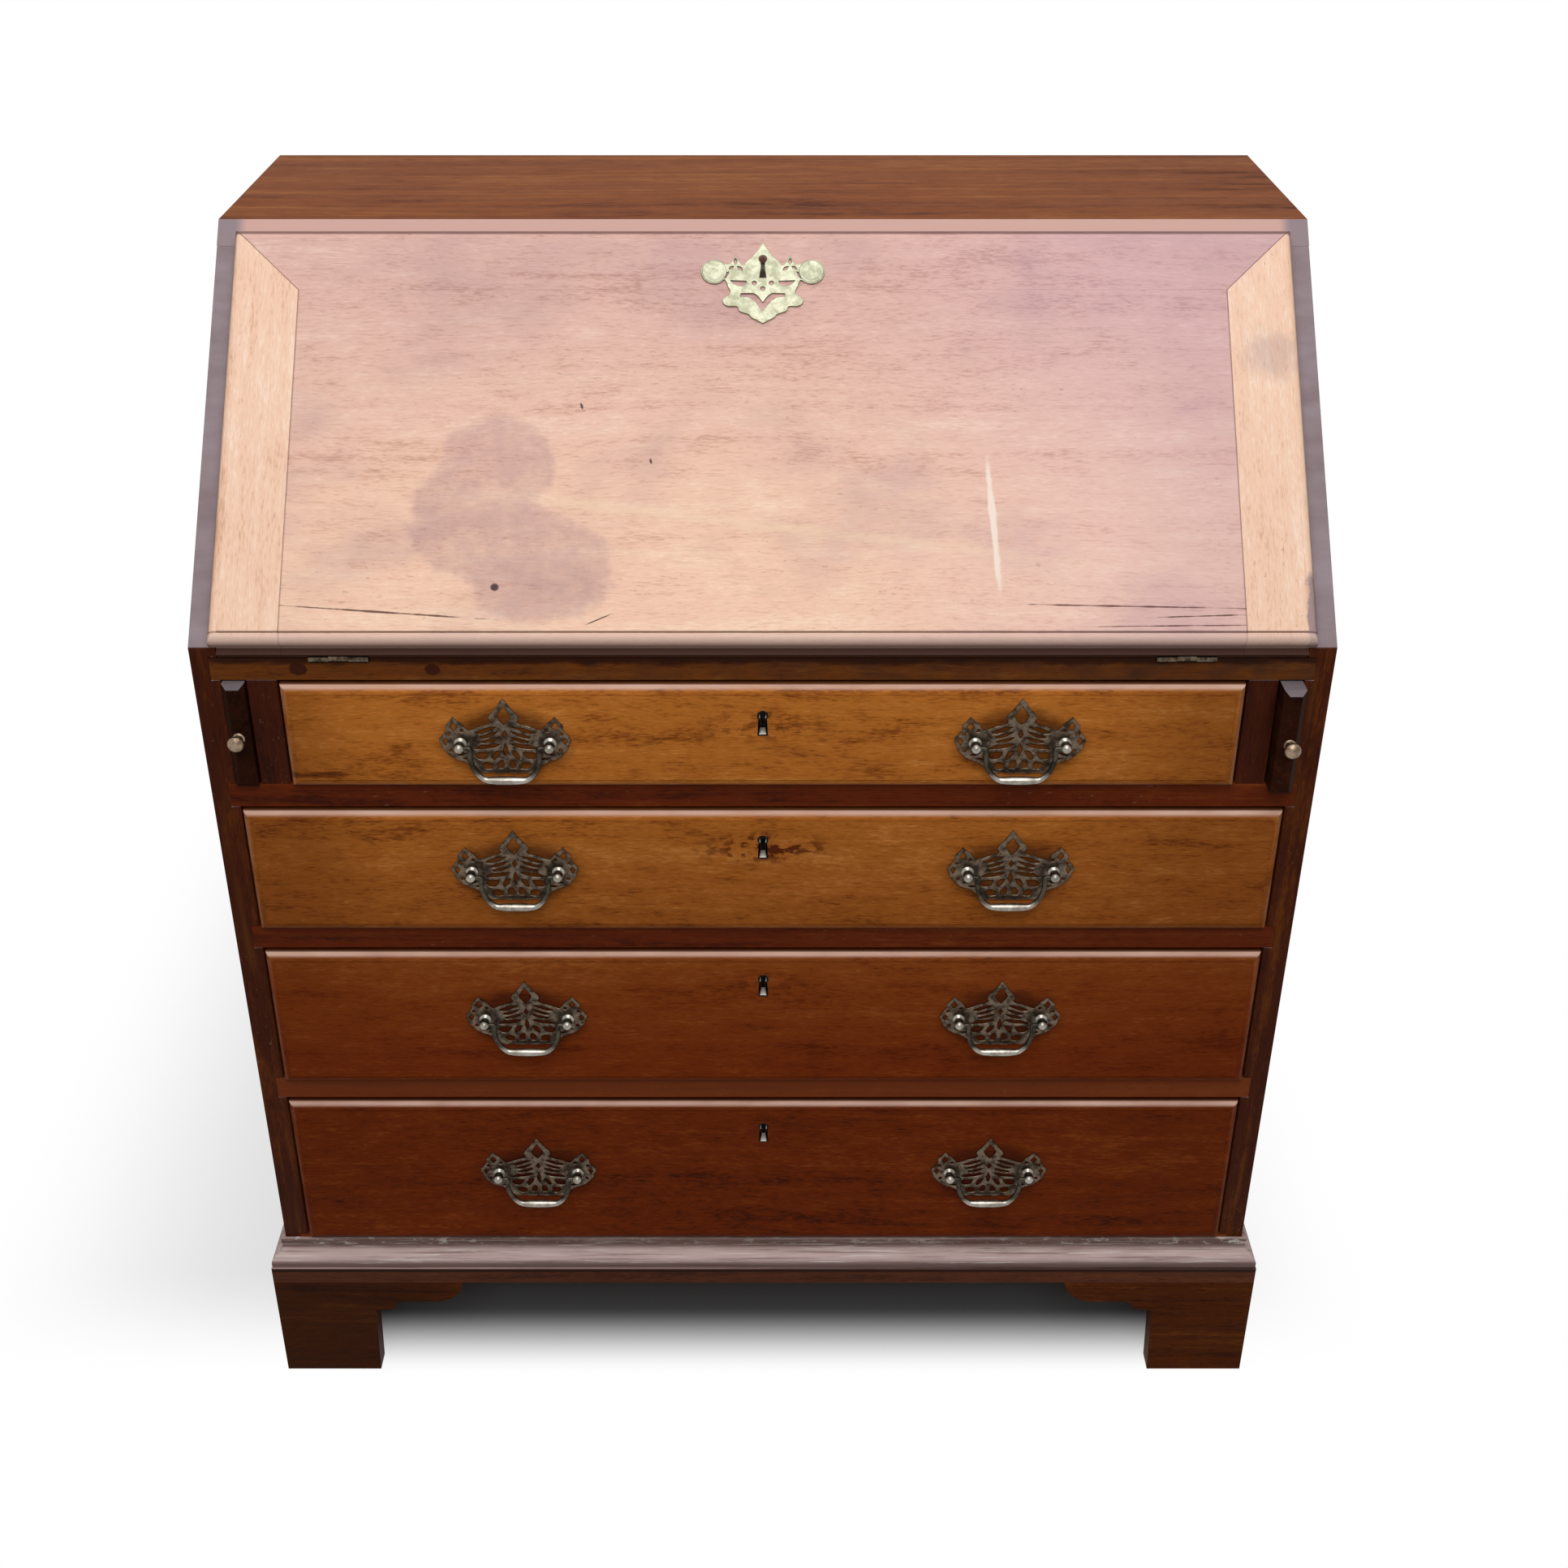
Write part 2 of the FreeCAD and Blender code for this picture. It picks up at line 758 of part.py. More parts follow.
def kite(start, end, swell):
    """A pointed slot from start to end, swelled to each side of its middle."""
    run = (end[0] - start[0], end[1] - start[1])
    share = swell / math.hypot(*run)
    middle = ((start[0] + end[0]) / 2, (start[1] + end[1]) / 2)
    return [
        start, (middle[0] - run[1] * share, middle[1] + run[0] * share),
        end, (middle[0] + run[1] * share, middle[1] - run[0] * share)]


def kites(wide, top, foot, shares):
    """Pointed slots from the shares of their two ends and the share of the half width that they swell by."""
    return [kite(*on_plate(wide, top, foot, ends), swell * wide) for *ends, swell in shares]


def paired(slots):
    """Slots on the right half and their reflections on the left."""
    return slots + [changed(slot, lambda x, z: (-x, z)) for slot in slots]


def pierced(half, slots, thickness):
    """A plate with its back on the XZ plane, from the right half of its outline, cut through by slots."""
    plate = front_prism(-thickness, 0, both_halves(half))
    return plate.cut([front_prism(-thickness, 0, slot) for slot in slots])


def handle_plate():
    """A pierced plate with a pointed crest over its middle and a smaller one over each post."""
    size = (plate_half_width, plate_top, plate_bottom)
    half = on_plate(*size, [
        (0, 1), (0.22, 0.6), (0.22, 0.44), (0.55, 0.28), (0.64, 0.42), (0.77, 0.58), (0.9, 0.36), (1, 0.06),
        (0.95, -0.18), (0.82, -0.46), (0.56, -0.7), (0.4, -0.98), (0, -1)])
    middle = kites(*size, [
        ((0, 0.4), (0, 0.8), 0.08), ((0, -0.24), (0, 0.2), 0.06)])
    right = kites(*size, [
        ((0.77, 0.2), (0.77, 0.46), 0.05), ((0.12, 0.26), (0.5, 0.02), 0.06),
        ((0.07, -0.34), (0.36, -0.62), 0.08)])
    shank = post_shank_radius + shank_clearance
    holes = [bore(shank, plate_thickness, Vector(x, -plate_thickness, 0), Vector(0, 1, 0))
             for x in (-post_spacing / 2, post_spacing / 2)]
    return pierced(half, middle + paired(right), plate_thickness).cut(holes)


def handle_post():
    """A turned post: a sloping collar, a head bored for the bail and a shank through the drawer's front."""
    base = plate_thickness
    centre = base + post_pivot_distance
    body = turned([
        (post_shank_radius, -front_thickness), (post_shank_radius, base), (post_collar_radius, base),
        (post_neck_radius, base + post_collar_rise), (post_head_radius, centre),
        (post_tip_radius, centre + post_head_length)], post_sides, Vector(0, 0, 0), Vector(0, -1, 0))
    start = Vector(-post_head_radius, -centre, 0)
    return body.cut(bore(bail_pin_radius + bail_pin_clearance, 2 * post_head_radius, start, Vector(1, 0, 0)))


def handle_bail():
    """A swan-neck bail about its pin axis: pins in the posts, shoulders, leaning arms and a swelled grip."""
    post = post_spacing / 2
    head_side = post - post_head_radius
    rod_start = on_front(head_side - bail_head_gap, 0)
    shoulder = on_front(head_side - bail_arm_gap, 0)
    corner = on_front(bail_corner_half, bail_corner_rise - bail_drop)
    foot = on_front(bail_foot_half, -bail_drop)
    path = [rod_start] + bend(rod_start, shoulder, corner, bail_shoulder_radius)
    path += bend(shoulder, corner, foot, bail_corner_radius) + [foot, on_front(bail_grip_half, -bail_drop)]
    right = [(on_front(post + post_neck_radius, 0), bail_pin_radius), (rod_start, bail_pin_radius)]
    right += [(point, bail_radius) for point in path]
    right.append((on_front(bail_grip_half / 2, -bail_drop), bail_grip_radius))
    left = [(on_front(-point.x, point.z), radius) for point, radius in reversed(right)]
    return bent_rod(right + left, bail_sides)


# Writing fall, modelled upright: its inner face is on the XZ plane and its face towards -Y

def fall_board():
    """The whole moulded fall before it is parted: a lip over the case, and a body between its sides."""
    shoulder = -fall_inset - fall_lip_gap
    lip = moulded_board(fall_half, fall_lip_foot_gap, fall_end, -fall_thickness, shoulder, fall_ovolo_radius)
    body = block(-fall_body_half, fall_body_half, shoulder, 0, fall_foot_gap, fall_body_end)
    return joined(lip, body)


def fall_pieces():
    """The panel, the top rail mitred between the cleats, and a cleat, cut for the hinges and the lock."""
    board = fall_board()
    inner = fall_half - cleat_width
    seam = fall_end - cleat_width
    panel_plan = front_prism(-fall_thickness, 0, [(-inner, 0), (inner, 0), (inner, seam), (-inner, seam)])
    rail_plan = front_prism(-fall_thickness, 0, [
        (-inner, seam), (inner, seam), (fall_half, fall_end), (-fall_half, fall_end)])
    cleat_plan = front_prism(-fall_thickness, 0, [
        (inner, 0), (fall_half, 0), (fall_half, fall_end), (inner, seam)])
    tongue = block(
        inner, inner + cleat_tongue_length, -cleat_tongue_depth - cleat_tongue_thickness, -cleat_tongue_depth,
        fall_foot_gap + cleat_tongue_shoulder, seam - cleat_tongue_shoulder)
    beds = [moved(hinge_bed(), centre, 0, 0) for centre in (-hinge_centre, hinge_centre)]
    panel = joined(board.common(panel_plan), *both_sides(tongue)).cut(beds)
    eye = fall_body_end - fall_key_drop
    rail = board.common(rail_plan).cut([
        lock_recess(fall_body_end, 0), keyhole(-fall_thickness, -lock_depth, eye, 0)])
    cleat = board.common(cleat_plan).cut(tongue)
    return panel, rail, cleat


def fall_escutcheon():
    """The pierced plate round the fall's keyhole: a pointed shield, a boss each side and a pointed apron."""
    size = (escutcheon_half_width, escutcheon_top, escutcheon_bottom)
    radius = escutcheon_boss_radius
    middle = (escutcheon_half_width - radius, -radius / 4)
    angles = [math.radians(angle) for angle in range(140, -140, -40)]
    boss = [(middle[0] + radius * math.cos(angle), middle[1] + radius * math.sin(angle)) for angle in angles]
    crest = on_plate(*size, [(0, 1), (0.29, 0.25), (0.335, 0.13), (0.445, 0.51), (0.56, 0.13)])
    apron = on_plate(*size, [
        (0.55, -0.44), (0.65, -0.57), (0.61, -0.7), (0.41, -0.7), (0.36, -0.81), (0.21, -0.875), (0, -1)])
    chevron = on_plate(*size, [
        (0, -0.72), (0.12, -0.6), (0.24, -0.6), (0, -0.85), (-0.24, -0.6), (-0.12, -0.6)])
    dot = kites(*size, [((0, -0.44), (0, -0.36), 0.035)])
    right = kites(*size, [
        ((0.45, 0), (0.45, 0.3), 0.035), ((0.57, -0.02), (0.7, -0.22), 0.04),
        ((0.34, -0.06), (0.42, -0.06), 0.035), ((0.28, -0.28), (0.54, -0.27), 0.045),
        ((0.15, -0.5), (0.4, -0.52), 0.035), ((0.11, -0.3), (0.19, -0.3), 0.035)])
    plate = pierced(crest + boss + apron, [chevron] + dot + paired(right), escutcheon_thickness)
    eye = keyhole_pitch / 2
    plate = plate.cut(keyhole(-escutcheon_thickness, 0, eye, 0))
    return moved(plate, 0, -fall_thickness, fall_body_end - fall_key_drop - eye)


# Fall hinges, about the hinge axis along X through zero

def laid_back(shape):
    """A piece of the upright fall's hinge as it lies on the bed: behind the axis, with its face up."""
    copy = shape.copy()
    copy.rotate(Vector(0, 0, 0), Vector(1, 0, 0), -90)
    return copy


def hinge_bed():
    """The space let into the upright fall for one leaf and the barrel."""
    half = hinge_length / 2
    leaf = block(-half, half, -hinge_leaf_thickness, 0, 0, hinge_leaf_width)
    room = hinge_barrel_radius + hinge_notch_clearance
    return joined(leaf, bore(room, hinge_length, Vector(-half, 0, 0), Vector(1, 0, 0)))


def hinge_leaf(first, hole):
    """A leaf on the upright fall with every other knuckle, from the first, bored for the pin."""
    half = hinge_length / 2
    pitch = hinge_length / hinge_knuckles
    length = pitch - hinge_knuckle_gap
    room = hinge_barrel_radius + hinge_notch_clearance
    across = Vector(1, 0, 0)
    clear = bore(room, hinge_length, Vector(-half, 0, 0), across)
    pieces = []
    for index in range(first, hinge_knuckles, 2):
        start = -half + index * pitch + hinge_knuckle_gap / 2
        pieces.append(rod(hinge_barrel_radius, length, Vector(start, 0, 0), across))
        pieces.append(block(start, start + length, -hinge_leaf_thickness, 0, 0, hinge_leaf_width / 2))
    leaf = block(-half, half, -hinge_leaf_thickness, 0, 0, hinge_leaf_width).cut(clear)
    return joined(leaf, *pieces).cut(bore(hole, hinge_length, Vector(-half, 0, 0), across))


def hinges():
    """Both hinges: the fall's leaves, the case's leaves laid back on the bed, and the pins."""
    fall_leaf = hinge_leaf(1, hinge_pin_radius + hinge_running_fit)
    case_leaf = laid_back(hinge_leaf(0, hinge_pin_radius + hinge_pin_fit))
    pin = rod(hinge_pin_radius, hinge_length, Vector(-hinge_length / 2, 0, 0), Vector(1, 0, 0))
    fall_leaves = []
    case_parts = []
    for centre in (-hinge_centre, hinge_centre):
        fall_leaves.append(on_fall(moved(fall_leaf, centre, 0, 0)))
        case_parts.append(moved(case_leaf, centre, 0, bed_top))
        case_parts.append(moved(pin, centre, 0, bed_top))
    return fall_leaves, case_parts


# Lopers

def loper(pull):
    """A right-hand loper, drawn out by a distance: a bar with a chamfered front and a peg that stops it."""
    front = -front_projection - pull
    rear = front + loper_length
    floor = drawer_floor(1)
    bar = block(
        loper_middle - loper_thickness / 2, loper_middle + loper_thickness / 2, front, rear,
        floor + loper_run_clearance, loper_top)
    corners = [edge for edge in bar.Edges if all(abs(v.Y - front) < 1e-6 for v in edge.Vertexes)]
    bar = bar.makeChamfer(loper_front_chamfer, corners)
    inner = loper_middle - loper_thickness / 2
    start = Vector(muntin_outer - peg_reach + peg_clearance, rear - peg_set_back, (floor + loper_top) / 2)
    peg = rod(peg_radius, inner + peg_socket - start.x, start, Vector(1, 0, 0))
    seat = Vector(loper_middle, front, start.z)
    pin = rod(loper_knob_neck, loper_knob_pin, seat, Vector(0, 1, 0), knob_sides)
    knob = knob_shape(loper_knob_radius, loper_knob_neck, loper_knob_length, loper_knob_pin, loper_knob_dome)
    knob.translate(seat)
    return [bar.cut([peg, pin]), peg], knob


def knob_shape(radius, neck, length, pin, dome):
    """A turned knob on the XZ plane: a pin behind it, a narrow neck, a swelled waist and a domed end."""
    shoulder = length / 3
    rim = length - dome
    waist = (shoulder + rim) / 2 - dome / 4
    return turned([
        (neck, -pin), (neck, shoulder), ((neck + radius) / 2, waist), (radius, rim),
        (radius * 0.8, rim + dome * 0.6), (radius * 0.35, length)],
        knob_sides, Vector(0, 0, 0), Vector(0, -1, 0))


# Fitted interior

def spread(count, divider):
    """Left edge and width of each bay between dividers across the desk."""
    width = (2 * inner_half - divider * (count - 1)) / count
    return [(-inner_half + index * (width + divider), width) for index in range(count)]


def partitions():
    """Dividers between the small drawers, and between the pigeonholes above them."""
    boards = []
    for left, width in spread(inner_drawer_count, inner_divider)[:-1]:
        right = left + width
        boards.append(block(right, right + inner_divider, unit_front, back_face, bed_top, inner_ceiling))
    for left, width in spread(pigeonhole_count, pigeonhole_divider)[:-1]:
        right = left + width
        boards.append(block(
            right, right + pigeonhole_divider, unit_front, back_face, shelf_top, top_underside))
    return boards


def valances():
    """A cusped valance at the head of each pigeonhole."""
    boards = []
    for left, width in spread(pigeonhole_count, pigeonhole_divider):
        half = width / 2
        spring = half - valance_shoulder
        right = [
            (0, 0), (half, 0), (half, -valance_height), (spring, -valance_height), (spring, -valance_spring),
            (spring - valance_cusp, -valance_spring), (0, -valance_crown)]
        start = unit_front + valance_set_back
        board = front_prism(start, start + valance_thickness, both_halves(right))
        boards.append(moved(board, left + half, 0, top_underside))
    return boards


def inner_drawer(left, width):
    """A small drawer with a turned wooden knob."""
    x0 = left + inner_gap
    x1 = left + width - inner_gap
    low = bed_top + drawer_run_clearance
    top = inner_ceiling - inner_gap
    wall = inner_side_thickness
    inner = unit_front + inner_front_thickness
    rear = back_face - inner_rear_gap
    floor = low + inner_bottom_thickness
    seat = Vector((x0 + x1) / 2, unit_front, (low + top) / 2)
    pin = rod(inner_knob_neck, inner_knob_pin, seat, Vector(0, 1, 0), knob_sides)
    knob = knob_shape(inner_knob_radius, inner_knob_neck, inner_knob_length, inner_knob_pin, inner_knob_dome)
    knob.translate(seat)
    return [
        block(x0, x1, unit_front, inner, low, top).cut(pin), knob,
        block(x0, x0 + wall, inner, rear, floor, top), block(x1 - wall, x1, inner, rear, floor, top),
        block(x0 + wall, x1 - wall, rear - wall, rear, floor, top), block(x0, x1, inner, rear, low, floor)]


# Every piece under its name

nodes = {}


def node(name, *solids):
    nodes[name] = solids


node("left_side", mirrored(side_board()))
node("right_side", side_board())
node("top_board", top_board())
node("back_boards", *back_boards())
node("bottom_board", housed_board(0, back_face, bottom_top, bottom_thickness))
node("writing_bed", housed_board(hinge_rail_depth, back_face, bed_top, bed_thickness))
node("hinge_rail", hinge_rail())
node("loper_partitions", *loper_partitions())
node("drawer_rails", *drawer_rails())
node("dustboards", *dustboards())
node("base_moulding", *base_moulding())
node("front_bracket_feet", *front_feet())
node("rear_bracket_feet", *rear_feet())

node("pigeonhole_partitions", *partitions())
node("pigeonhole_shelf", block(-inner_half, inner_half, unit_front, back_face, inner_ceiling, shelf_top))
node("pigeonhole_valances", *valances())
for index, bay in enumerate(spread(inner_drawer_count, inner_divider), start=1):
    node(f"inner_drawer_{index}", *inner_drawer(*bay))

panel, rail, cleat = fall_pieces()
node("fall_panel", on_fall(panel))
node("fall_top_rail", on_fall(rail))
node("fall_cleats", *[on_fall(shape) for shape in both_sides(cleat)])
node("fall_escutcheon", on_fall(fall_escutcheon()))
node("fall_lock", on_fall(lock_case(fall_body_end, 0)))
node("fall_lock_bolt", on_fall(bolt_bar(fall_body_end, 0, 0)))
fall_leaves, case_leaves = hinges()
node("fall_hinge_leaves", *fall_leaves)
node("case_hinge_leaves", *case_leaves)

right_loper, right_knob = loper(loper_pull)
left_loper, left_knob = loper(0)
node("right_loper", *right_loper)
node("left_loper", *[mirrored(shape) for shape in left_loper])
node("right_loper_knob", right_knob)
node("left_loper_knob", mirrored(left_knob))

for number in drawers:
    drawer(number)

# The origin goes to the middle of the footprint, from the drawn loper's knob to the back.
foremost = -front_projection - loper_pull - loper_knob_length
to_origin = Vector(0, -(foremost + case_depth) / 2, 0)
os.makedirs("parts", exist_ok=True)
for name, solids in nodes.items():
    shape = solids[0] if len(solids) == 1 else Part.makeCompound(list(solids))
    shape.translate(to_origin)
    shape.exportStep(f"parts/{name}.step")
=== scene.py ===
# %% [markdown]
# # A slant-front bureau
# The bureau is an old writing desk: a sloping fall, four long drawers and bracket feet, in mahogany that
# the light has faded unevenly, with pierced brass handles. Its solids come from the CAD model. This lesson
# loads them, rounds their edges, gives them wood and metal, and makes the fine brasswork in full detail.

# %% Load the frame
import json
import math
from contextlib import contextmanager

import bpy
from mathutils import Matrix, Vector

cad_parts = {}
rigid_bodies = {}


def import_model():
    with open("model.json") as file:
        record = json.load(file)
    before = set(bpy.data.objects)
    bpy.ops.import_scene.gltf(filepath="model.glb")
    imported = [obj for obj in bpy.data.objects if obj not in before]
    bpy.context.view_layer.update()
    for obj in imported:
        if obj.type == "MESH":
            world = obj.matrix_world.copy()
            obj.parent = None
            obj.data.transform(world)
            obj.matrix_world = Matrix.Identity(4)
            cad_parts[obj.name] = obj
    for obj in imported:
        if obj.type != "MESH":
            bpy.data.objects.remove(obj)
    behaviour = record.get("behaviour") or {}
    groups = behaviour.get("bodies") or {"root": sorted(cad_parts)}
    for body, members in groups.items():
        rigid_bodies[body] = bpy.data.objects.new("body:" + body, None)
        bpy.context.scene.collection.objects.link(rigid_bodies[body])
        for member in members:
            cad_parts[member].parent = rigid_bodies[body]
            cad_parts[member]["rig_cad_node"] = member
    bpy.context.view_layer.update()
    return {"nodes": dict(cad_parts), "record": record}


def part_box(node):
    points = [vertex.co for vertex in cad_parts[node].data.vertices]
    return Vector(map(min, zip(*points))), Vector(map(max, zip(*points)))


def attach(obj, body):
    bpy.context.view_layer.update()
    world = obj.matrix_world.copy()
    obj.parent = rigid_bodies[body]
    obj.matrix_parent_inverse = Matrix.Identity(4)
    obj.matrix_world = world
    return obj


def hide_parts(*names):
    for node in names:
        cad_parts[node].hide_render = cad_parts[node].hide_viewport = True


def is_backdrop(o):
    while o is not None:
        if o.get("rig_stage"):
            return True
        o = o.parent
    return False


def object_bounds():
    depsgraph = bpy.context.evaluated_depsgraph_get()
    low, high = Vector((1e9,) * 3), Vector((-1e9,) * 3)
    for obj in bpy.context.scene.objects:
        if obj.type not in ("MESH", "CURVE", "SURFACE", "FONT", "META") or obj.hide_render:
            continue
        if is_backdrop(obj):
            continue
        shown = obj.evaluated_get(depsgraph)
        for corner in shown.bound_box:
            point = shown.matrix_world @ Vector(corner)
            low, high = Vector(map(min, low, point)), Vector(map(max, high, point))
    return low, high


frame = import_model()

nodes = frame["nodes"]
behaviour = frame["record"]["behaviour"]
body_of_node = {node: body for body, members in behaviour["bodies"].items() for node in members}
pivot_of_body = {joint["child"]: joint["pos_m"] for joint in behaviour["joints"] if "pos_m" in joint}
drawers = [f"drawer_{number}" for number in (1, 2, 3, 4)]

# %% [markdown]
# ## Camera
# The photograph looks down on the front from about thirty degrees. The camera could be set by eye, but its
# place was worked out from the corners of the case, so that edges fall where they do in the photograph. The
# small shifts stand for the way the picture was trimmed.

# %% Place the camera
camera_place = (0.00568, -1.6319, 1.4764)
camera_tilt = math.radians(59.73)


def started(name, operator, **settings):
    """A new object by one of Blender's own operators."""
    bpy.ops.object.select_all(action="DESELECT")
    operator(**settings)
    made = bpy.context.object
    made.name = name
    return made


camera = started("portrait_camera", bpy.ops.object.camera_add, location=camera_place,
                 rotation=(camera_tilt, 0, 0))
camera.data.lens = 44.907
camera.data.sensor_width = 36
camera.data.shift_x = 0.00912
camera.data.shift_y = 0.00188
bpy.context.scene.camera = camera
bpy.context.scene.view_settings.view_transform = "Standard"
print("camera lens", camera.data.lens)

# %% [markdown]
# ## Nodes with less typing
# A material is a small web of nodes. Each node could be placed and joined in three or four lines, but that
# hides what the web does. These helpers place a node, join its sockets and give back what comes out, so
# that a finish reads like a recipe. A socket knows its own web, so only the first node of a web has to be
# told. Colours are written as on a paint card and turned into light values.

# %% Helpers for nodes
def joined(value):
    """Whether a value is a socket, and not a number, a vector or a paint code."""
    return isinstance(value, bpy.types.NodeSocket)


def paint(code):
    """A colour in a shader's linear values from a six-figure paint code, or a socket as it is."""
    if joined(code):
        return code
    shares = [int(code[place:place + 2], 16) / 255 for place in (0, 2, 4)]
    return [share / 12.92 if share <= 0.04045 else ((share + 0.055) / 1.055) ** 2.4 for share in shares] + [1]


def add(kind, sockets=None, tree=None, **settings):
    """A node with its settings, and its sockets set to a value or joined to another node's socket."""
    sockets = sockets or {}
    tree = tree or next(value.id_data for value in sockets.values() if joined(value))
    made = tree.nodes.new("ShaderNode" + kind)
    for name, value in settings.items():
        setattr(made, name, value)
    for name, value in sockets.items():
        if joined(value):
            tree.links.new(value, made.inputs[name])
        else:
            made.inputs[name].default_value = value
    return made


print("white is", paint("FFFFFF"))


# %% Sums
def reckon(operation, first, *others):
    """The result of a sum, carried through several values in turn."""
    for other in others or (0.0,):
        first = add("Math", {0: first, 1: other}, operation=operation).outputs[0]
    return first


def times(first, *shares):
    """The product of masks and numbers."""
    return reckon("MULTIPLY", first, *shares) if shares else first


def away_from(value, place):
    """How far a value is from a place, to either side."""
    return reckon("ABSOLUTE", reckon("SUBTRACT", value, place))


def reckon_axes(operation, vector, other=(0, 0, 0)):
    """A sum on all three axes of a vector."""
    return add("VectorMath", {0: vector, 1: other}, operation=operation).outputs[0]


def length_of(vector):
    """The length of a vector."""
    return add("VectorMath", {0: vector}, operation="LENGTH").outputs["Value"]


def axes(vector):
    """The X, Y and Z of a vector."""
    return add("SeparateXYZ", {0: vector}).outputs


def facing(place):
    """The X, Y and Z of the way that a surface faces, from its coordinates' node."""
    return axes(place.node.outputs["Normal"])


print("sums ready")


# %% Masks and layers of paint
def between(value, low, high, start=0.0, end=1.0):
    """A number that goes from low to high while a value goes from start to end."""
    return add("MapRange", {"Value": value, "From Min": start, "From Max": end, "To Min": low,
                            "To Max": high}).outputs["Result"]


def rise(value, low, high):
    """A mask that climbs softly from nothing at low to full at high."""
    return add("MapRange", {"Value": value, "From Min": low, "From Max": high},
               interpolation_type="SMOOTHSTEP").outputs["Result"]


def tint(mask, below, above):
    """One colour laid over another where the mask is full."""
    return add("Mix", {0: mask, 6: paint(below), 7: paint(above)}, data_type="RGBA").outputs[2]


def layered(colour, *layers):
    """Paints over a colour, each as thick as the product of its masks and numbers."""
    for code, *shares in layers:
        colour = tint(times(*shares), colour, code)
    return colour


print("masks and layers ready")


# %% Noise and spots
def mottle(vector, stretch, detail=2.0, roughness=0.5):
    """Noise whose cells have their own size along each axis, per metre."""
    cells = reckon_axes("MULTIPLY", vector, stretch)
    return add("TexNoise", {"Vector": cells, "Scale": 1.0, "Detail": detail,
                            "Roughness": roughness}).outputs[0]


def spread(noise, low, high):
    """A noise value, which stays near a half, spread between two numbers."""
    return between(noise, low, high, 0.3, 0.7)


def uneven(vector, stretch, low, high, *noise):
    """A number that wanders between low and high over a surface."""
    return spread(mottle(vector, stretch, *noise), low, high)


def patches(vector, stretch, low, high, *noise):
    """A mask of patches where noise climbs from low to high."""
    return rise(mottle(vector, stretch, *noise), low, high)


def spot(place, centre, size, soft, ragged, cells=30, turn=(0, 0, 0)):
    """A soft mask over an oval, with a ragged edge."""
    near = add("Mapping", {"Vector": place, "Location": centre, "Rotation": turn, "Scale": size},
               vector_type="TEXTURE").outputs[0]
    edge = uneven(place, (cells, cells, cells), -ragged, ragged, 3, 0.6)
    return rise(reckon("ADD", length_of(near), edge), 1 + soft, 1 - soft)


print("noise ready")


# %% Materials and groups
def bumped(height, strength, distance):
    """The way that a surface faces once a fine height is pressed into it."""
    return add("Bump", {"Strength": strength, "Distance": distance, "Height": height}).outputs[0]


def made_finish(name, recipe, *details):
    """A material by a recipe, which turns the object's own coordinates and some details into a shader."""
    material = bpy.data.materials.new(name)
    material.use_nodes = True
    tree = material.node_tree
    tree.nodes.clear()
    place = add("TexCoord", tree=tree).outputs["Object"]
    add("OutputMaterial", {"Surface": recipe(place, *details)})
    return material


def new_group(name, inputs, outputs):
    """An empty node group, from the kind of each socket by its name, and what it is given."""
    tree = bpy.data.node_groups.new(name, "ShaderNodeTree")
    for side, sockets in (("INPUT", inputs), ("OUTPUT", outputs)):
        for socket, kind in sockets.items():
            tree.interface.new_socket(socket, in_out=side, socket_type="NodeSocket" + kind)
    return tree, tree.nodes.new("NodeGroupInput").outputs


def give(tree, **results):
    """A group with its results joined to its outputs."""
    made = tree.nodes.new("NodeGroupOutput").inputs
    for name, value in results.items():
        tree.links.new(value, made[name])
    return tree


print("materials and groups ready")

# %% [markdown]
# ## Floor and light
# The desk stands on a white studio floor. Close to the desk the floor is a dark grey that takes the real
# shadow, a painted shade that deepens it, and a faint painted shade lies beside it, wider on the left. A
# large soft lamp hangs over the desk and another behind the camera. Elsewhere the floor simply shows white to
# the camera, which keeps the background clean without putting more light on the wood.

# %% Lay the floor
footprint = (0.39, 0.165, 1.0)
shade_middle = -0.1
shade_strength = 0.3
white = (1, 1, 1, 1)
# Close to the desk the floor is this dark grey, a painted shade that deepens the real shadow.
floor_grey = (0.22, 0.22, 0.22, 1)


def seen_by_camera(tree):
    """A mask over what the camera sees, straight, mirrored or through glass."""
    rays = add("LightPath", tree=tree).outputs
    return reckon("MAXIMUM", rays["Is Camera Ray"], rays["Is Glossy Ray"], rays["Is Transmission Ray"])


def paper(place):
    """Paper, pure white away from the desk; near it a painted dark grey with its shadow, and a painted shade.
    """
    tree = place.id_data
    outside = reckon_axes("SUBTRACT", reckon_axes("ABSOLUTE", place), footprint)
    away = length_of(reckon_axes("MAXIMUM", outside))
    apart = axes(place)
    # A faint painted shade on the floor beside the desk, wider on the left.
    painted_side_shade = times(rise(away_from(apart["X"], shade_middle), 0.75, 0.38), shade_strength,
                   rise(apart["Y"], -0.26, -0.1), rise(apart["Y"], 1.9, 0.5))
    bare = times(rise(away, 0.0, 0.09), reckon("SUBTRACT", 1.0, painted_side_shade), seen_by_camera(tree))
    matt = add("BsdfDiffuse", {"Color": floor_grey}, tree).outputs[0]
    glow = add("Emission", {"Color": white, "Strength": 1.0}, tree).outputs[0]
    return add("MixShader", {0: bare, 1: matt, 2: glow}).outputs[0]


floor = started("studio_floor", bpy.ops.mesh.primitive_plane_add, size=40)
floor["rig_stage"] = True
floor.data.materials.append(made_finish("white_paper", paper))
print("floor laid")


# %% Hang the lamps
def soft_lamp(name, location, target, size, power):
    """A square soft lamp that faces a point."""
    turn = (Vector(target) - Vector(location)).to_track_quat("-Z", "Y").to_euler()
    lamp = started(name, bpy.ops.object.light_add, type="AREA", location=location, rotation=turn)
    lamp.data.size = size
    lamp.data.energy = power
    print(name, power, "W")


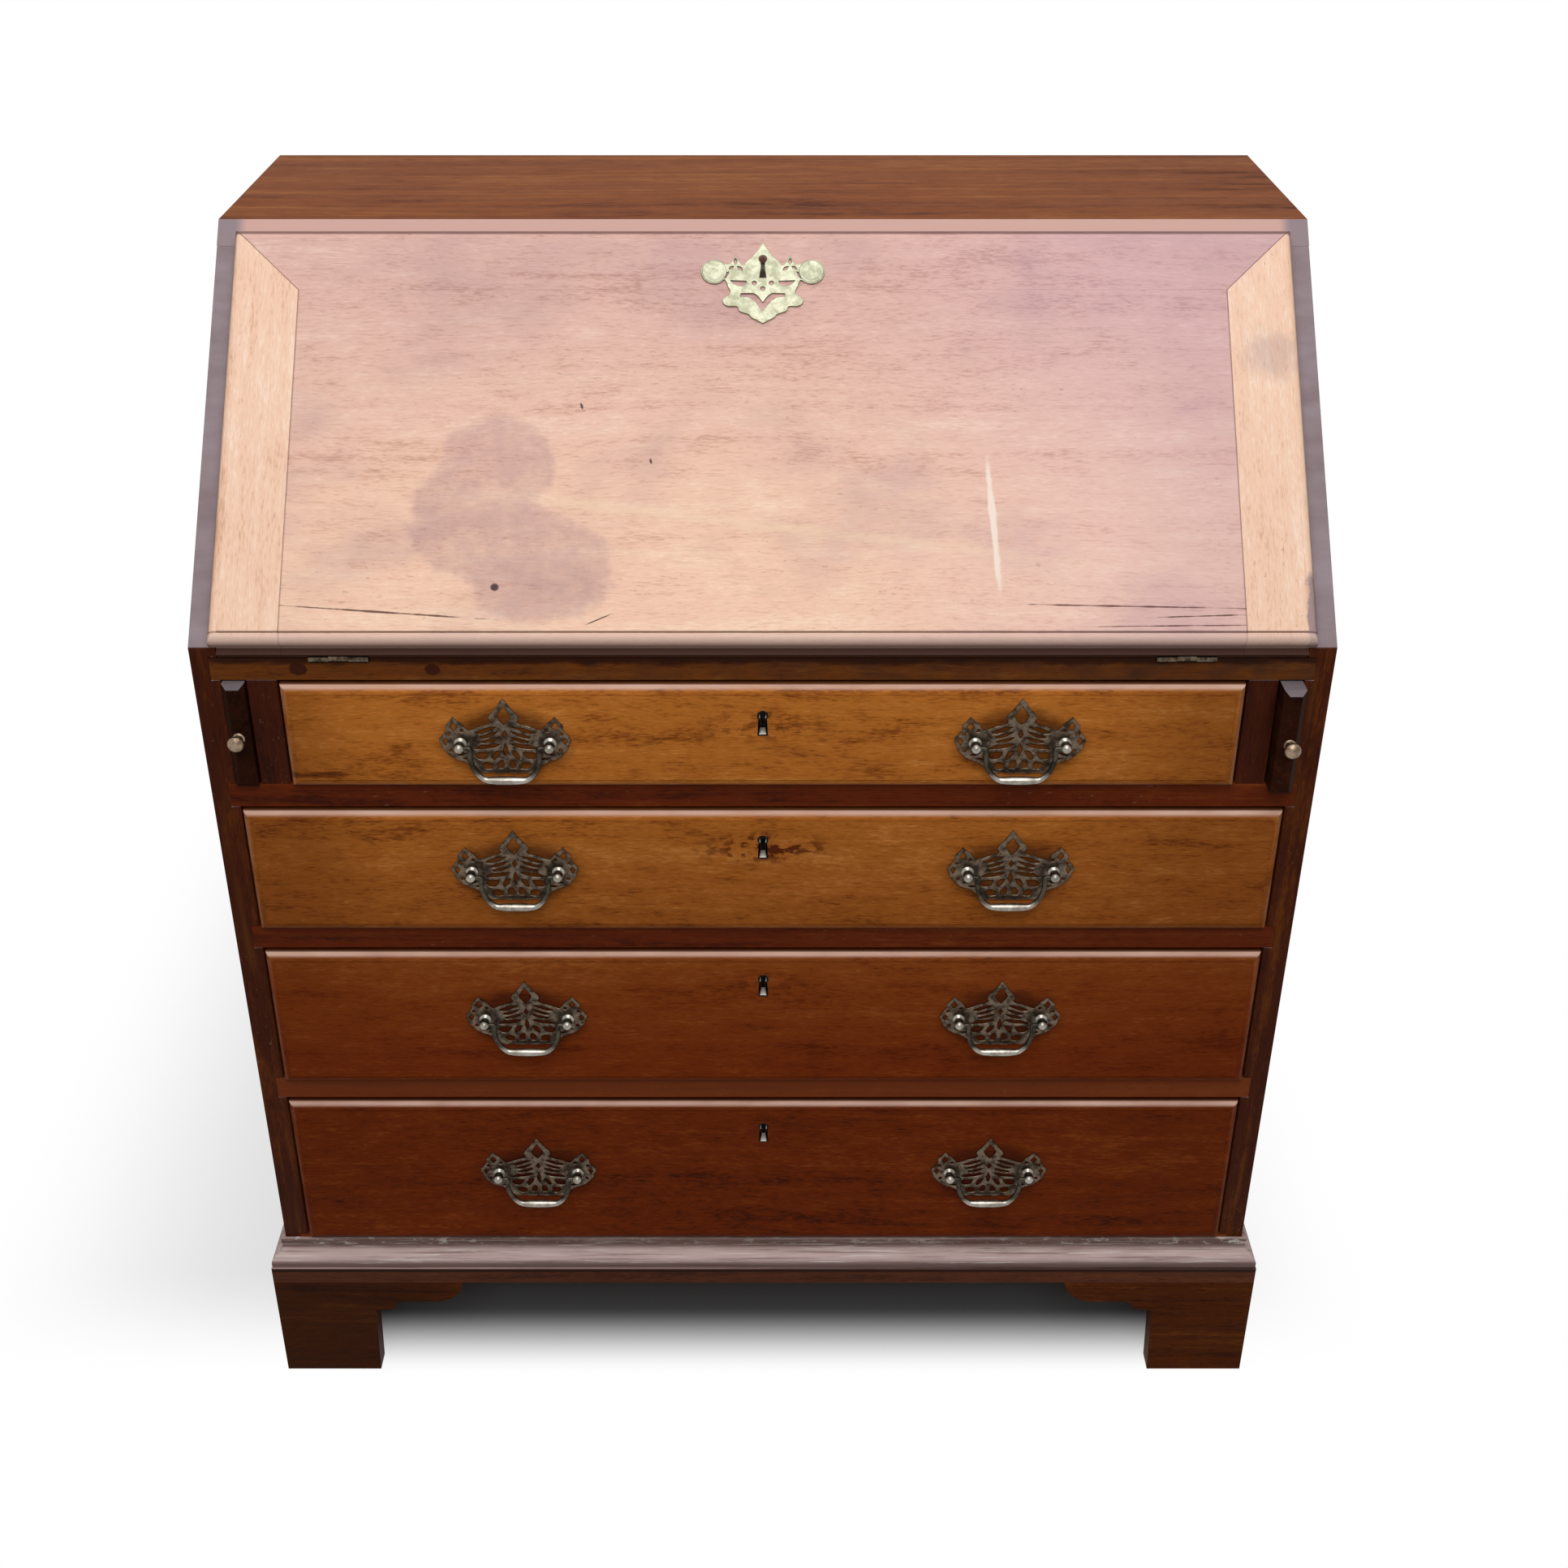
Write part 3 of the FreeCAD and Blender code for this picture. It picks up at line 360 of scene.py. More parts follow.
soft_lamp("overhead_lamp", (0, -1.0, 3.2), (0, -0.1, 0), 2.6, 46)
soft_lamp("front_lamp", (0, -3.0, 3.4), (0, 0, 0.5), 2.0, 46)

# %% Light the room
room_strength = 0.2
world = bpy.data.worlds.new("studio")
bpy.context.scene.world = world
world.use_nodes = True
tree = world.node_tree
tree.nodes.clear()
dim, bright = [add("Background", {"Color": white, "Strength": strength}, tree).outputs[0]
               for strength in (room_strength, 1.0)]
shown = add("MixShader", {0: seen_by_camera(tree), 1: dim, 2: bright}).outputs[0]
add("OutputWorld", {"Surface": shown})
print("room lit")

# %% [markdown]
# ## Wood grain
# Old mahogany shows broad ribbons, fine streaks along the grain, soft clouds across it and short open
# pores. A photograph of wood could be wrapped round each board, but it would repeat. Here noise is
# stretched along the grain at several scales and mixed into one node group, so every board has its own
# grain at true size.

# %% Wood grain group
def make_wood_grain():
    """Ribbons, streaks, clouds and pores along X, out of three tones."""
    tree, given = new_group(
        "wood_grain",
        {"Along": "Vector", "Dark": "Color", "Middle": "Color", "Light": "Color", "Contrast": "Float",
         "Pores": "Float", "Figure": "Float", "Fleck": "Float"},
        {"Color": "Color", "Height": "Float", "Streak": "Float"})
    wander = mottle(given["Along"], (1.3, 4, 4)).node.outputs["Color"]
    along = reckon_axes("ADD", given["Along"], reckon_axes("MULTIPLY", wander, (0.0, 0.05, 0.05)))
    ribbon = mottle(along, (0.9, 24, 24), 3)
    streak = mottle(along, (3.5, 150, 150), 5, 0.7)
    cloud = mottle(given["Along"], (6, 11, 11), 3)
    figure = mottle(along, (26, 75, 75), 4, 0.6)
    fleck = mottle(along, (130, 700, 700), 2, 0.6)
    mixed = reckon("ADD", times(ribbon, 0.42), times(streak, 0.38), times(cloud, 0.2))
    tone = 0.5
    for share, strength in ((mixed, "Contrast"), (figure, "Figure"), (fleck, "Fleck")):
        tone = reckon("ADD", times(reckon("SUBTRACT", share, 0.5), given[strength]), tone)
    pore = times(patches(along, (60, 850, 850), 0.58, 0.72, 1), given["Pores"])
    colour = layered(given["Dark"], (given["Middle"], rise(tone, 0.0, 0.5)),
                     (given["Light"], rise(tone, 0.5, 1.0)), (given["Dark"], pore))
    return give(tree, Color=colour, Height=reckon("SUBTRACT", times(streak, 0.5), pore), Streak=streak)


wood_grain = make_wood_grain()
print("wood grain group has", len(wood_grain.nodes), "nodes")

# %% [markdown]
# ## Painted sheen on tops, and scuffs
# Whatever faces up gets a pale, rosy painted sheen for the light that it catches, mixed with dust: the tops
# of mouldings are pale and rosy, while fronts stay dark. Knocks and rubbing leave small specks everywhere.
# Both could be painted by hand, but two small groups do it for every board at once. One asks which way the
# surface faces, the other scatters specks out of noise.

# %% Painted sheen and scuffs groups
def make_sheen_and_dust_top():
    """A mask over surfaces that face up, for painted sheen and dust, uneven as dust is."""
    tree, given = new_group("sheen_and_dust_top", {"From": "Float", "Full": "Float"}, {"Mask": "Float"})
    place = add("TexCoord", tree=tree).outputs["Object"]
    level = rise(facing(place)["Z"], given["From"], given["Full"])
    return give(tree, Mask=times(level, uneven(place, (25, 60, 60), 0.7, 1.0, 4)))


def make_scuffs():
    """A mask of small specks and short scratches."""
    tree, given = new_group("scuffs", {"Along": "Vector", "Amount": "Float"}, {"Mask": "Float"})
    where = patches(given["Along"], (9, 12, 12), 0.42, 0.62, 2)
    speck = patches(given["Along"], (120, 300, 300), 0.64, 0.72, 3, 0.6)
    return give(tree, Mask=times(speck, where, given["Amount"]))


sheen_and_dust_top = make_sheen_and_dust_top()
scuffs = make_scuffs()
print("groups:", ", ".join(group.name for group in bpy.data.node_groups))

# %% Grain along a board
crosswise = (1, 0, 0)
front_to_back = (0, 1, 0)
upright = (0, 0, 1)


def grain_along(place, direction, shift=0.0):
    """Coordinates turned so that X runs along the grain."""
    turn = Vector(direction).rotation_difference(Vector(crosswise)).to_euler()
    return add("Mapping", {"Vector": place, "Rotation": turn, "Location": (shift, shift, shift)},
               vector_type="POINT").outputs[0]


def grain_round_corner(place, shift):
    """Coordinates along X on fronts, tops and backs, and along Y on the two ends."""
    on_end = rise(reckon("ABSOLUTE", facing(place)["X"]), 0.6, 0.8)
    ahead, aside = [grain_along(place, direction, shift) for direction in (crosswise, front_to_back)]
    return add("Mix", {0: on_end, 4: ahead, 5: aside}, data_type="VECTOR").outputs[1]


def grain(along, tones, contrast=3.2, pores=0.5, figure=0.8, fleck=0.6):
    """The wood grain group in three tones, dark to light."""
    dark, middle, light = [paint(tone) for tone in tones]
    return add("Group", {"Along": along, "Dark": dark, "Middle": middle, "Light": light, "Contrast": contrast,
                         "Pores": pores, "Figure": figure, "Fleck": fleck}, node_tree=wood_grain).outputs


print("grain ready")


# %% Dirt and polish
grain_depth = 0.0006


def tones_between(mask, *pairs):
    """Tones that go from the first to the second paint of each pair where a mask fills."""
    return [tint(mask, first, second) for first, second in pairs]


def sheen_and_dust(place, start, full):
    """A mask over what faces up, for painted sheen and dust."""
    return add("Group", {"From": start, "Full": full}, place.id_data, node_tree=sheen_and_dust_top).outputs["Mask"]


def specks(along, amount):
    """A mask of specks."""
    return add("Group", {"Along": along, "Amount": amount}, node_tree=scuffs).outputs["Mask"]


def polished(fibre, layers, rough=(0.36, 0.5), bump=0.12, specular=0.06):
    """Polished wood: paints over its grain, a roughness that follows the streaks, and a fine bump."""
    return add("BsdfPrincipled", {
        "Base Color": layered(fibre["Color"], *layers), "Roughness": spread(fibre["Streak"], *rough),
        "Normal": bumped(fibre["Height"], bump, grain_depth), "Specular IOR Level": specular}).outputs[0]


print("recipes ready")

# %% [markdown]
# ## The case in mahogany
# The case is dark in front. Its sides are painted lighter and redder, a painted fill for the little light
# that reaches them, and where it slopes up to the light it gets a painted grey sheen. One finish for all of
# it would run the grain the wrong way on half the boards, so there is one for uprights, one for boards that
# lie across, and others for the rail under the fall, the polished top, the base moulding with its dust and
# painted sheen, and the feet. A finish is a list of paints over the grain, each with the masks that say where
# it lies.
# A spot on a front reaches through it, so that its depth doesn't matter.

# %% Finishes of the sides and rails
through = 9
side_middle = 0.4465
hinge_line = Vector(pivot_of_body["fall"])


def case_upright(place):
    """Sides and muntins: redder painted fill on the broad faces, dark in front, painted grey sheen on the
    slope.
    """
    along = grain_along(place, upright)
    painted_fill_on_sides = rise(reckon("ABSOLUTE", facing(place)["X"]), 0.6, 0.9)
    # The broad faces are painted lighter and redder, a painted fill for the little light the sides get.
    tones = tones_between(painted_fill_on_sides, ("260C04", "481C0A"), ("431A0A", "7A3C1A"), ("683412", "98582C"))
    ridge = away_from(reckon("ABSOLUTE", axes(place)["X"]), side_middle)
    chip = spot(place, (-0.4395, hinge_line.y, 0.7755), (0.0016, through, 0.0036), 0.3, 0.3, 300)
    return polished(grain(along, tones), [
        ("8A6A58", specks(along, 0.5)),
        ("7A4A1E", rise(ridge, 0.0085, 0.002), uneven(place, (90, 90, 9), -0.3, 0.3, 3)),
        # A painted grey sheen where the boards face up, with some dust.
        ("9A8B90", sheen_and_dust(place, 0.35, 0.7)),
        ("C0B0A4", chip)])


def case_across(place):
    """The rails and other boards that lie across the case, browner towards the bottom."""
    along = grain_along(place, crosswise)
    return polished(grain(along, ("3C1206", "66280C", "7E3C18")), [
        ("9A7868", specks(along, 0.35)),
        ("904A26", rise(axes(place)["Z"], 0.46, 0.36), 0.45)])


def under_fall(place):
    """The rail under the fall: golden, darker to the right, painted shade and grime along its top, two old
    plugs.
    """
    along = grain_along(place, crosswise, 0.21)
    apart = axes(place)
    plugs = [("3C1A0A", spot(place, (wide, hinge_line.y, 0.769), (size, through, 0.0052), 0.15, 0.12, 200))
             for wide, size in ((-0.372, 0.0075), (-0.264, 0.006))]
    ragged = uneven(place, (30, 30, 90), -0.0025, 0.0025, 3)
    return polished(grain(along, ("3E1A08", "784012", "8C5626")), [
        ("3A1A0C", specks(along, 0.6)),
        ("41271B", uneven(place, (28, 60, 60), 0.2, 1.0, 4, 0.6),
         between(apart["X"], 0.35, 0.95, -0.35, 0.3)),
        *plugs,
        # Painted shade and grime along the top, under the fall's lip.
        ("240C06", rise(reckon("ADD", apart["Z"], ragged), 0.7715, 0.7765), 0.85)])


upright_wood = made_finish("case_upright", case_upright)
rail_wood = made_finish("rail_wood", case_across)
hinge_rail_wood = made_finish("hinge_rail_wood", under_fall)
print("sides and rails:", upright_wood.name, rail_wood.name, hinge_rail_wood.name)


# %% Finishes of the top, the moulding and the feet
def case_top(place):
    """The polished top, its front edge painted with a pale highlight and grey at both ends."""
    along = grain_along(place, crosswise, 0.37)
    # A painted pale highlight on the front edge, grey at both ends like the sheen on the slopes.
    edge = tint(rise(reckon("ABSOLUTE", axes(place)["X"]), 0.432, 0.444), "D6AEA4", "9A8B90")
    return polished(grain(along, ("4C1F0A", "844926", "9C6136"), 3.8, 0.5, 0.7, 0.4), [
        (edge, rise(facing(place)["Y"], -0.3, -0.8))], (0.3, 0.42), 0.06, 0.005)


def dust_and_sheen_moulding(place):
    """Base moulding: rosy grey on top from dust, rubbing and painted sheen; painted shade in its quirk; pale
    flakes.
    """
    along = grain_round_corner(place, 0.11)
    wide, deep, up = axes(place)
    above_quirk = rise(up, 0.1325, 0.1345)
    on_bead = rise(up, 0.138, 0.142)
    on_ledge = rise(up, 0.1545, 0.1565)
    in_quirk = times(rise(up, 0.1295, 0.13), rise(up, 0.1335, 0.1325))
    near_corner = times(between(reckon("ABSOLUTE", wide), 0.35, 1.0, 0.15, 0.42), rise(deep, -0.1, -0.23))
    return polished(grain(along, ("361A10", "5C3220", "74442A")), [
        ("B49C98", above_quirk, 0.45),
        # A painted pale sheen with dust where the moulding faces up.
        ("CEB5B1", sheen_and_dust(place, 0.05, 0.65), above_quirk),
        ("6E5148", patches(along, (7, 330, 330), 0.53, 0.64, 4, 0.65), above_quirk, 0.55),
        ("E2D6CE", patches(along, (14, 420, 420), 0.53, 0.68, 4, 0.7), on_bead, 0.75),
        ("62463A", on_ledge, uneven(along, (12, 200, 200), 0.0, 0.7, 4, 0.6)),
        ("D8D0C6", patches(along, (70, 170, 170), 0.55, 0.64, 3, 0.7), on_ledge, near_corner),
        # Painted shade in the quirk.
        ("1C0C07", in_quirk, 0.85)], (0.45, 0.6), 0.2)


def rubbed_foot(place):
    """The feet: dark and scuffed, the left one darker."""
    along = grain_round_corner(place, 0.63)
    return polished(grain(along, ("240F06", "56280E", "744018"), 3.6), [
        ("140905", specks(along, 0.9)),
        ("2A180E", rise(axes(place)["X"], -0.25, -0.36), 0.5)], (0.4, 0.58), 0.18, 0.03)


top_wood = made_finish("case_top", case_top)
moulding_wood = made_finish("dust_and_sheen_moulding", dust_and_sheen_moulding)
foot_wood = made_finish("rubbed_foot", rubbed_foot)
print("top, moulding and feet:", top_wood.name, moulding_wood.name, foot_wood.name)

# %% [markdown]
# ## The drawer fronts
# The top drawers are a golden brown and the bottom ones dark red, so one recipe moves from one set of tones
# to the other with height, and reddens the third drawer. Grime has gathered round the keyholes, where no
# duster reaches, and grime with painted shade lies round the handles. The rounded top edge of each front gets
# a rosy, pale painted sheen with some dust, and its other edges thin pale painted highlights.

# %% Marks on the drawer fronts
key_drop = 0.026
face_plane = -0.241
pins = [Vector(pivot_of_body[drawer + "_right_bail"]) for drawer in drawers]
key_heights = [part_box(drawer + "_lock")[1].z - key_drop for drawer in drawers]


def drawer_marks(place):
    """Grime and painted shade round the handles, blotches by the keyholes, a smear at the foot of the top
    drawer.
    """
    mirrored = reckon_axes("ABSOLUTE", place)
    grime_and_shade = [spot(mirrored, (pin.x, -face_plane, pin.z), (0.048, through, 0.029), 0.3, 0.12) for pin in pins]
    blotches = patches(place, (75, 75, 120), 0.47, 0.58, 3, 0.6)
    near_keys = [spot(place, (0, face_plane, up - 0.009), (0.046, through, 0.014), 0.6, 0.2)
                 for up in key_heights]
    smear = spot(place, (-0.372, face_plane, 0.6755), (0.05, through, 0.0022), 0.6, 0.5, 60, (0, -0.05, 0))
    return [("30100A", reckon("MAXIMUM", *grime_and_shade), 0.72),
            *[("4A1408", near, blotches, share) for near, share in zip(near_keys, (0.5, 0.9, 0.4, 0.3))],
            ("3E1608", smear, 0.7)]


print("keyholes at", [round(up, 4) for up in key_heights])


# %% Finish of the drawer fronts
def drawer_wood(place):
    """Golden brown above, dark red below: grime, painted shade, painted sheen and highlights on the lip, old
    marks.
    """
    wide, deep, up = axes(place)
    turned_to = facing(place)
    along = grain_along(place, crosswise, 0.5)
    high = rise(up, 0.285, 0.835)
    tones = tones_between(high, ("421908", "8A4618"), ("742E0E", "D07E32"), ("904618", "EC9E50"))
    at_ends = reckon("MAXIMUM", rise(wide, 0.22, 0.4), rise(wide, -0.31, -0.4))
    on_third = times(rise(up, 0.31, 0.36), rise(up, 0.53, 0.46))
    lip = times(rise(deep, -0.2335, -0.2345), rise(deep, -0.24, -0.2378))
    to_side = rise(reckon("ABSOLUTE", turned_to["X"]), 0.1, 0.5)
    edges = reckon("MAXIMUM", to_side, rise(turned_to["Z"], -0.1, -0.5))
    rubbed_and_highlit = times(uneven(place, (25, 60, 25), 0.0, 0.7, 4, 0.6), between(high, 0.25, 1.0))
    return polished(grain(along, tones, 1.8, 0.4, 1.0, 1.0), [
        ("5A240C", at_ends, between(high, 0.16, 0.5)),
        ("7A2408", on_third, 0.3),
        *drawer_marks(place),
        ("3A1408", specks(along, 0.22)),
        # Thin pale painted highlights along the lip's ends and foot.
        ("D2A488", edges, rubbed_and_highlit, lip),
        # A pale painted sheen with dust along the lip's upper edge.
        ("DDB6A2", sheen_and_dust(place, 0.05, 0.55), lip),
        ("3A160A", rise(turned_to["Z"], 0.9, 0.98), 0.85)], (0.34, 0.46), 0.12, 0.03)


front_wood = made_finish("drawer_wood", drawer_wood)
print("drawer finish has", len(front_wood.node_tree.nodes), "nodes")

# %% [markdown]
# ## The fall
# The fall has stood in the light for two hundred years. Its panel is pale and rosy, partly faded and partly a
# painted sheen of the light on its slope, yellower towards its foot, with a dark blot from a spill, a pale
# scratch, ink spots and hairline splits. The cleats at its ends are paler still, with their grain running up
# the slope. Painted shade lies in the gaps round its edges, and painted light on the moulding at its foot.
# The marks are placed by coordinates turned flat on the fall. Its inner face, to write on, never saw the sun.

# %% Coordinates and marks on the fall
slope = math.radians(46.2)
up_slope = (0, 1, 0)
seam_across = 0.383
seam_up = 0.3106
fall_foot = 0.0065
fall_end = 0.3676
fall_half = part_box("fall_cleats")[1].x
dim_patches = [((-0.058, 0.33), (0.05, 0.03), 0.0, 0.8), ((-0.03, 0.29), (0.045, 0.02), 0.0, 0.9)]
spill = [((-0.215, 0.154), (0.046, 0.046), 0.2, 0.13), ((-0.231, 0.128), (0.052, 0.036), 0.5, 0.13),
         ((-0.23, 0.108), (0.054, 0.048), 0.0, 0.13), ((-0.179, 0.069), (0.06, 0.046), 0.0, 0.13)]
pale_streak = [((0.0, 0.104), (0.185, 0.004), -0.125, 0.95)]
scratch = [((0.1845, 0.107), (0.0026, 0.053), 0.066, 0.35)]
ink_spots = [((-0.2128, 0.0522), (0.0032, 0.003), 0.0, 0.3), ((-0.129, 0.0256), (0.0095, 0.0006), 0.42, 0.4),
             ((-0.1469, 0.2072), (0.0012, 0.003), 0.3, 0.4), ((-0.0902, 0.1593), (0.001, 0.0025), 0.2, 0.4)]
splits = [((-0.314, 0.0322), (0.072, 0.0007), -0.07, 0.5), ((0.3, 0.036), (0.085, 0.0006), -0.02, 0.5),
          ((0.345, 0.028), (0.035, 0.0006), 0.03, 0.5), ((0.33, 0.02), (0.05, 0.0005), 0.01, 0.5)]
cleat_stain = [((0.418, 0.252), (0.022, 0.02), 0.3, 0.5)]
cleat_bruise = [((0.437, 0.03), (0.006, 0.026), 0.0, 0.3)]


def on_fall(place):
    """Coordinates on the fall: X across it, Y up the slope from the hinge line, Z out of its face."""
    return add("Mapping", {"Vector": place, "Location": hinge_line, "Rotation": (slope, 0, 0)},
               vector_type="TEXTURE").outputs[0]


def marks(face, ragged, spots):
    """A mask of spots on the fall, each with a centre, a size, a turn in its plane and a softness."""
    return reckon("MAXIMUM", *[spot(face, (*centre, 0), (*size, through), soft, ragged, 45, (0, 0, turn))
                               for centre, size, turn, soft in spots])


print("hinge line of the fall at", [round(value, 4) for value in hinge_line])


# %% Rim and inner face of the fall
def rim_light_and_shade(up):
    """Painted light on the foot moulding, painted shade in its quirk, under the foot with grime, and along
    the top.
    """
    from_foot = reckon("SUBTRACT", up, fall_foot)
    line = times(rise(away_from(from_foot, 0.0088), 0.0012, 0.0003), 0.6)
    gap_shade = times(rise(reckon("SUBTRACT", fall_end, up), 0.0066, 0.0044), 0.75)
    # Painted light on the moulding at the foot; painted shade in its quirk, along the top gap, and with grime
    # under the foot.
    return [("EAC8BA", rise(from_foot, 0.0085, 0.0065), 0.6), ("5C3832", reckon("MAXIMUM", line, gap_shade)),
            ("341006", rise(from_foot, 0.0003, -0.0006), 0.95)]


def fall_shell(face, direction, fibre, layers):
    """A finish of the fall with its rim outside, and with clean mahogany on its inner face."""
    apart = axes(face)
    inner = grain(grain_along(face, direction, 0.55), ("5E3018", "8C5232", "AA744C"), 2.6, 0.4)
    inside = (inner["Color"], rise(apart["Z"], 0.0014, 0.0004))
    return polished(fibre, [*layers, *rim_light_and_shade(apart["Y"]), inside], (0.4, 0.52), 0.1, 0.04)


print("fall is", round(2 * fall_half, 4), "m wide")


# %% Finishes of the panel and the cleats
def fall_wood(place):
    """The panel and top rail, faded and with a painted sheen, with their marks."""
    face = on_fall(place)
    apart = axes(face)
    along = grain_along(face, crosswise, 0.9)
    tones = tones_between(rise(apart["Y"], 0.05, 0.36), ("D6A68C", "BE9286"), ("F4CAB0", "DEB4A8"),
                          ("FBDAC0", "EAC6BA"))
    past_seam = reckon("SUBTRACT", reckon("ABSOLUTE", apart["X"]), seam_across)
    past_mitre = reckon("MAXIMUM", reckon("SUBTRACT", apart["Y"], seam_up), 0.0)
    return fall_shell(face, crosswise, grain(along, tones, 2.0, 0.35, 0.9, 1.1), [
        ("B89494", patches(face, (5, 8, 8), 0.48, 0.7, 4, 0.6), 0.4),
        ("B08C94", marks(face, 0.4, dim_patches), 0.315),
        ("AE868C", marks(face, 0.12, spill), uneven(face, (55, 70, 70), 0.16, 0.52, 4, 0.65)),
        ("CCA6D2", rise(apart["X"], 0.0, 0.34), 0.17),
        ("BC9AA0", rise(apart["X"], 0.26, 0.37), 0.2),
        ("F4D6B8", marks(face, 0.5, pale_streak), 0.45),
        ("F8E6D6", marks(face, 0.3, scratch), 0.95),
        ("3A2630", marks(face, 0.2, ink_spots), 0.9),
        ("5E3A32", marks(face, 0.6, splits), 0.9),
        ("8E6460", specks(along, 0.35)),
        ("7E564C", rise(away_from(past_seam, past_mitre), 0.0016, 0.0004), 0.6)])


def cleat_wood(place):
    """The pale cleats with a painted sheen, grain up the slope, and painted shade along their outer edges."""
    face = on_fall(place)
    along = grain_along(face, up_slope, 0.3)
    from_side = reckon("SUBTRACT", fall_half, reckon("ABSOLUTE", axes(face)["X"]))
    return fall_shell(face, up_slope, grain(along, ("DCAC8C", "F5CDB2", "FCDFCA"), 2.2, 0.3, 0.9, 1.2), [
        ("B49A98", marks(face, 0.3, cleat_stain), 0.4),
        ("8C7C86", marks(face, 0.5, cleat_bruise), 0.8),
        ("A07A68", specks(along, 0.5)),
        # Painted shade along the outer edges, from the gap to the case sides.
        ("6A4A4A", rise(from_side, 0.003, 0.001), 0.6)])


panel_wood = made_finish("fall_wood", fall_wood)
end_wood = made_finish("cleat_wood", cleat_wood)
print("fall finishes:", panel_wood.name, end_wood.name)

# %% [markdown]
# ## Hidden woods
# The lopers are nearly black, the pigeonholes are clean mahogany, the drawer boxes are oak, and the
# dustboards and back boards are rough deal, each back board of its own tone. They show when the desk is
# open or seen from behind, so each has its own grain, and the boxes turn it round the corner as real ones
# do.

# %% Finishes of the lopers, the inside and the back
back_board_count = 4


def loper_wood(place):
    """The lopers: dark, with a painted grey sheen and dust on their upper edge."""
    along = grain_along(place, front_to_back, 0.4)
    return polished(grain(along, ("180904", "2E150B", "442216")), [
        ("6A4E46", specks(along, 0.5)),
        # A painted grey sheen with dust on the upper edge.
        ("80767A", sheen_and_dust(place, 0.3, 0.6))], specular=0.02)


def plain_wood(place, tones, contrast, rough, shift, pores=0.5):
    """Boxes and boards whose grain turns at the ends."""
    along = grain_round_corner(place, shift)
    return polished(grain(along, tones, contrast, pores), [(tones[0], specks(along, 0.5))], rough, 0.2)


def deal_boards(place):
    """Rough upright boards at the back, each of its own tone, with dark seams between them."""
    along = grain_along(place, upright, 0.8)
    low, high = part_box("back_boards")
    from_left = reckon("SUBTRACT", axes(place)["X"], low.x)
    board = reckon("DIVIDE", from_left, (high.x - low.x) / back_board_count)
    own = add("TexWhiteNoise", {"W": reckon("FLOOR", board)}, noise_dimensions="1D").outputs["Value"]
    return polished(grain(along, ("6E4024", "A0643A", "BC8250"), 4.0, 0.2), [
        ("3C2818", specks(along, 0.8)),
        ("5A3A20", own, 0.5),
        ("1E120A", rise(away_from(reckon("FRACT", board), 0.5), 0.488, 0.497))], (0.65, 0.8), 0.3)


slide_wood = made_finish("loper_wood", loper_wood)
inside_wood, box_oak, rough_deal = [made_finish(name, plain_wood, *look) for name, *look in (
    ("inside_wood", ("5A2C16", "86492A", "A2663E"), 3.2, (0.4, 0.52), 0.15),
    ("box_oak", ("80562E", "B4824C", "D0A06A"), 3.6, (0.55, 0.7), 0.45, 0.7),
    ("rough_deal", ("6A4A2C", "967048", "AE8A60"), 4.0, (0.65, 0.8), 0.75, 0.2))]
back_deal = made_finish("deal_boards", deal_boards)
print("hidden finishes:", slide_wood.name, inside_wood.name, box_oak.name, rough_deal.name, back_deal.name)

# %% [markdown]
# ## Brass and steel
# The handles are brass that has gone nearly black in its hollows and shines where fingers and cloths have
# rubbed it; on the posts that shine is partly a painted highlight. The escutcheon on the fall is still
# bright.
# One group makes the tarnish: clouds of dull patina with small pits, which change the colour, the roughness
# and the surface together.

# %% Tarnish and bare metal
pit_depth = 0.0004


def make_tarnish():
    """Clouds of patina and small pits."""
    tree, given = new_group("tarnish", {"Place": "Vector"}, {"Patina": "Float", "Pits": "Float"})
    patina = patches(given["Place"], (140, 140, 140), 0.36, 0.66, 4, 0.65)
    return give(tree, Patina=patina, Pits=mottle(given["Place"], (520, 520, 520), 3, 0.6))


tarnish = make_tarnish()


def aged(place):
    """The patina and the pits of a metal."""
    return add("Group", {"Place": place}, node_tree=tarnish).outputs


def cast(colour, sheen, pits, bump):
    """Bare metal, with fine pits."""
    return add("BsdfPrincipled", {"Base Color": colour, "Metallic": 1.0, "Roughness": sheen,
                                  "Normal": bumped(pits, bump, pit_depth)}).outputs[0]


print("tarnish group has", len(tarnish.nodes), "nodes")


# %% Metals
def metal(place, clean, dull, rough, bump):
    """A metal between its clean and its dull colour."""
    age = aged(place)
    sheen = reckon("ADD", spread(age["Pits"], -0.06, 0.06), between(age["Patina"], *rough))
    return cast(tint(age["Patina"], clean, dull), sheen, age["Pits"], bump)


def rubbed_highlit_metal(place):
    """Brass, dark where unrubbed, bright where hands rub it and where a highlight is painted, by its own
    attribute.
    """
    age = aged(place)
    rubbed_and_highlit = add("Attribute", tree=place.id_data, attribute_name="rubbed_and_highlit").outputs["Fac"]
    dark, bright = tones_between(age["Patina"], ("4C473C", "2A2620"), ("9E9990", "7E786E"))
    return cast(tint(rubbed_and_highlit, dark, bright), between(rubbed_and_highlit, 0.4, 0.26), age["Pits"], 0.15)


def liner_metal(place):
    """The liner of a keyhole: painted nearly black for shade, with painted light on the floor that faces up.
    """
    age = aged(place)
    dull = tint(age["Patina"], "1A100A", "0C0705")
    return add("BsdfPrincipled", {
        # Painted light on the floor that faces up, over a painted shade that keeps the hole nearly black.
        "Base Color": layered(dull, ("EFE6DC", rise(facing(place)["Z"], 0.4, 0.8))),
        "Specular IOR Level": 0.1, "Roughness": spread(age["Pits"], 0.34, 0.46)}).outputs[0]


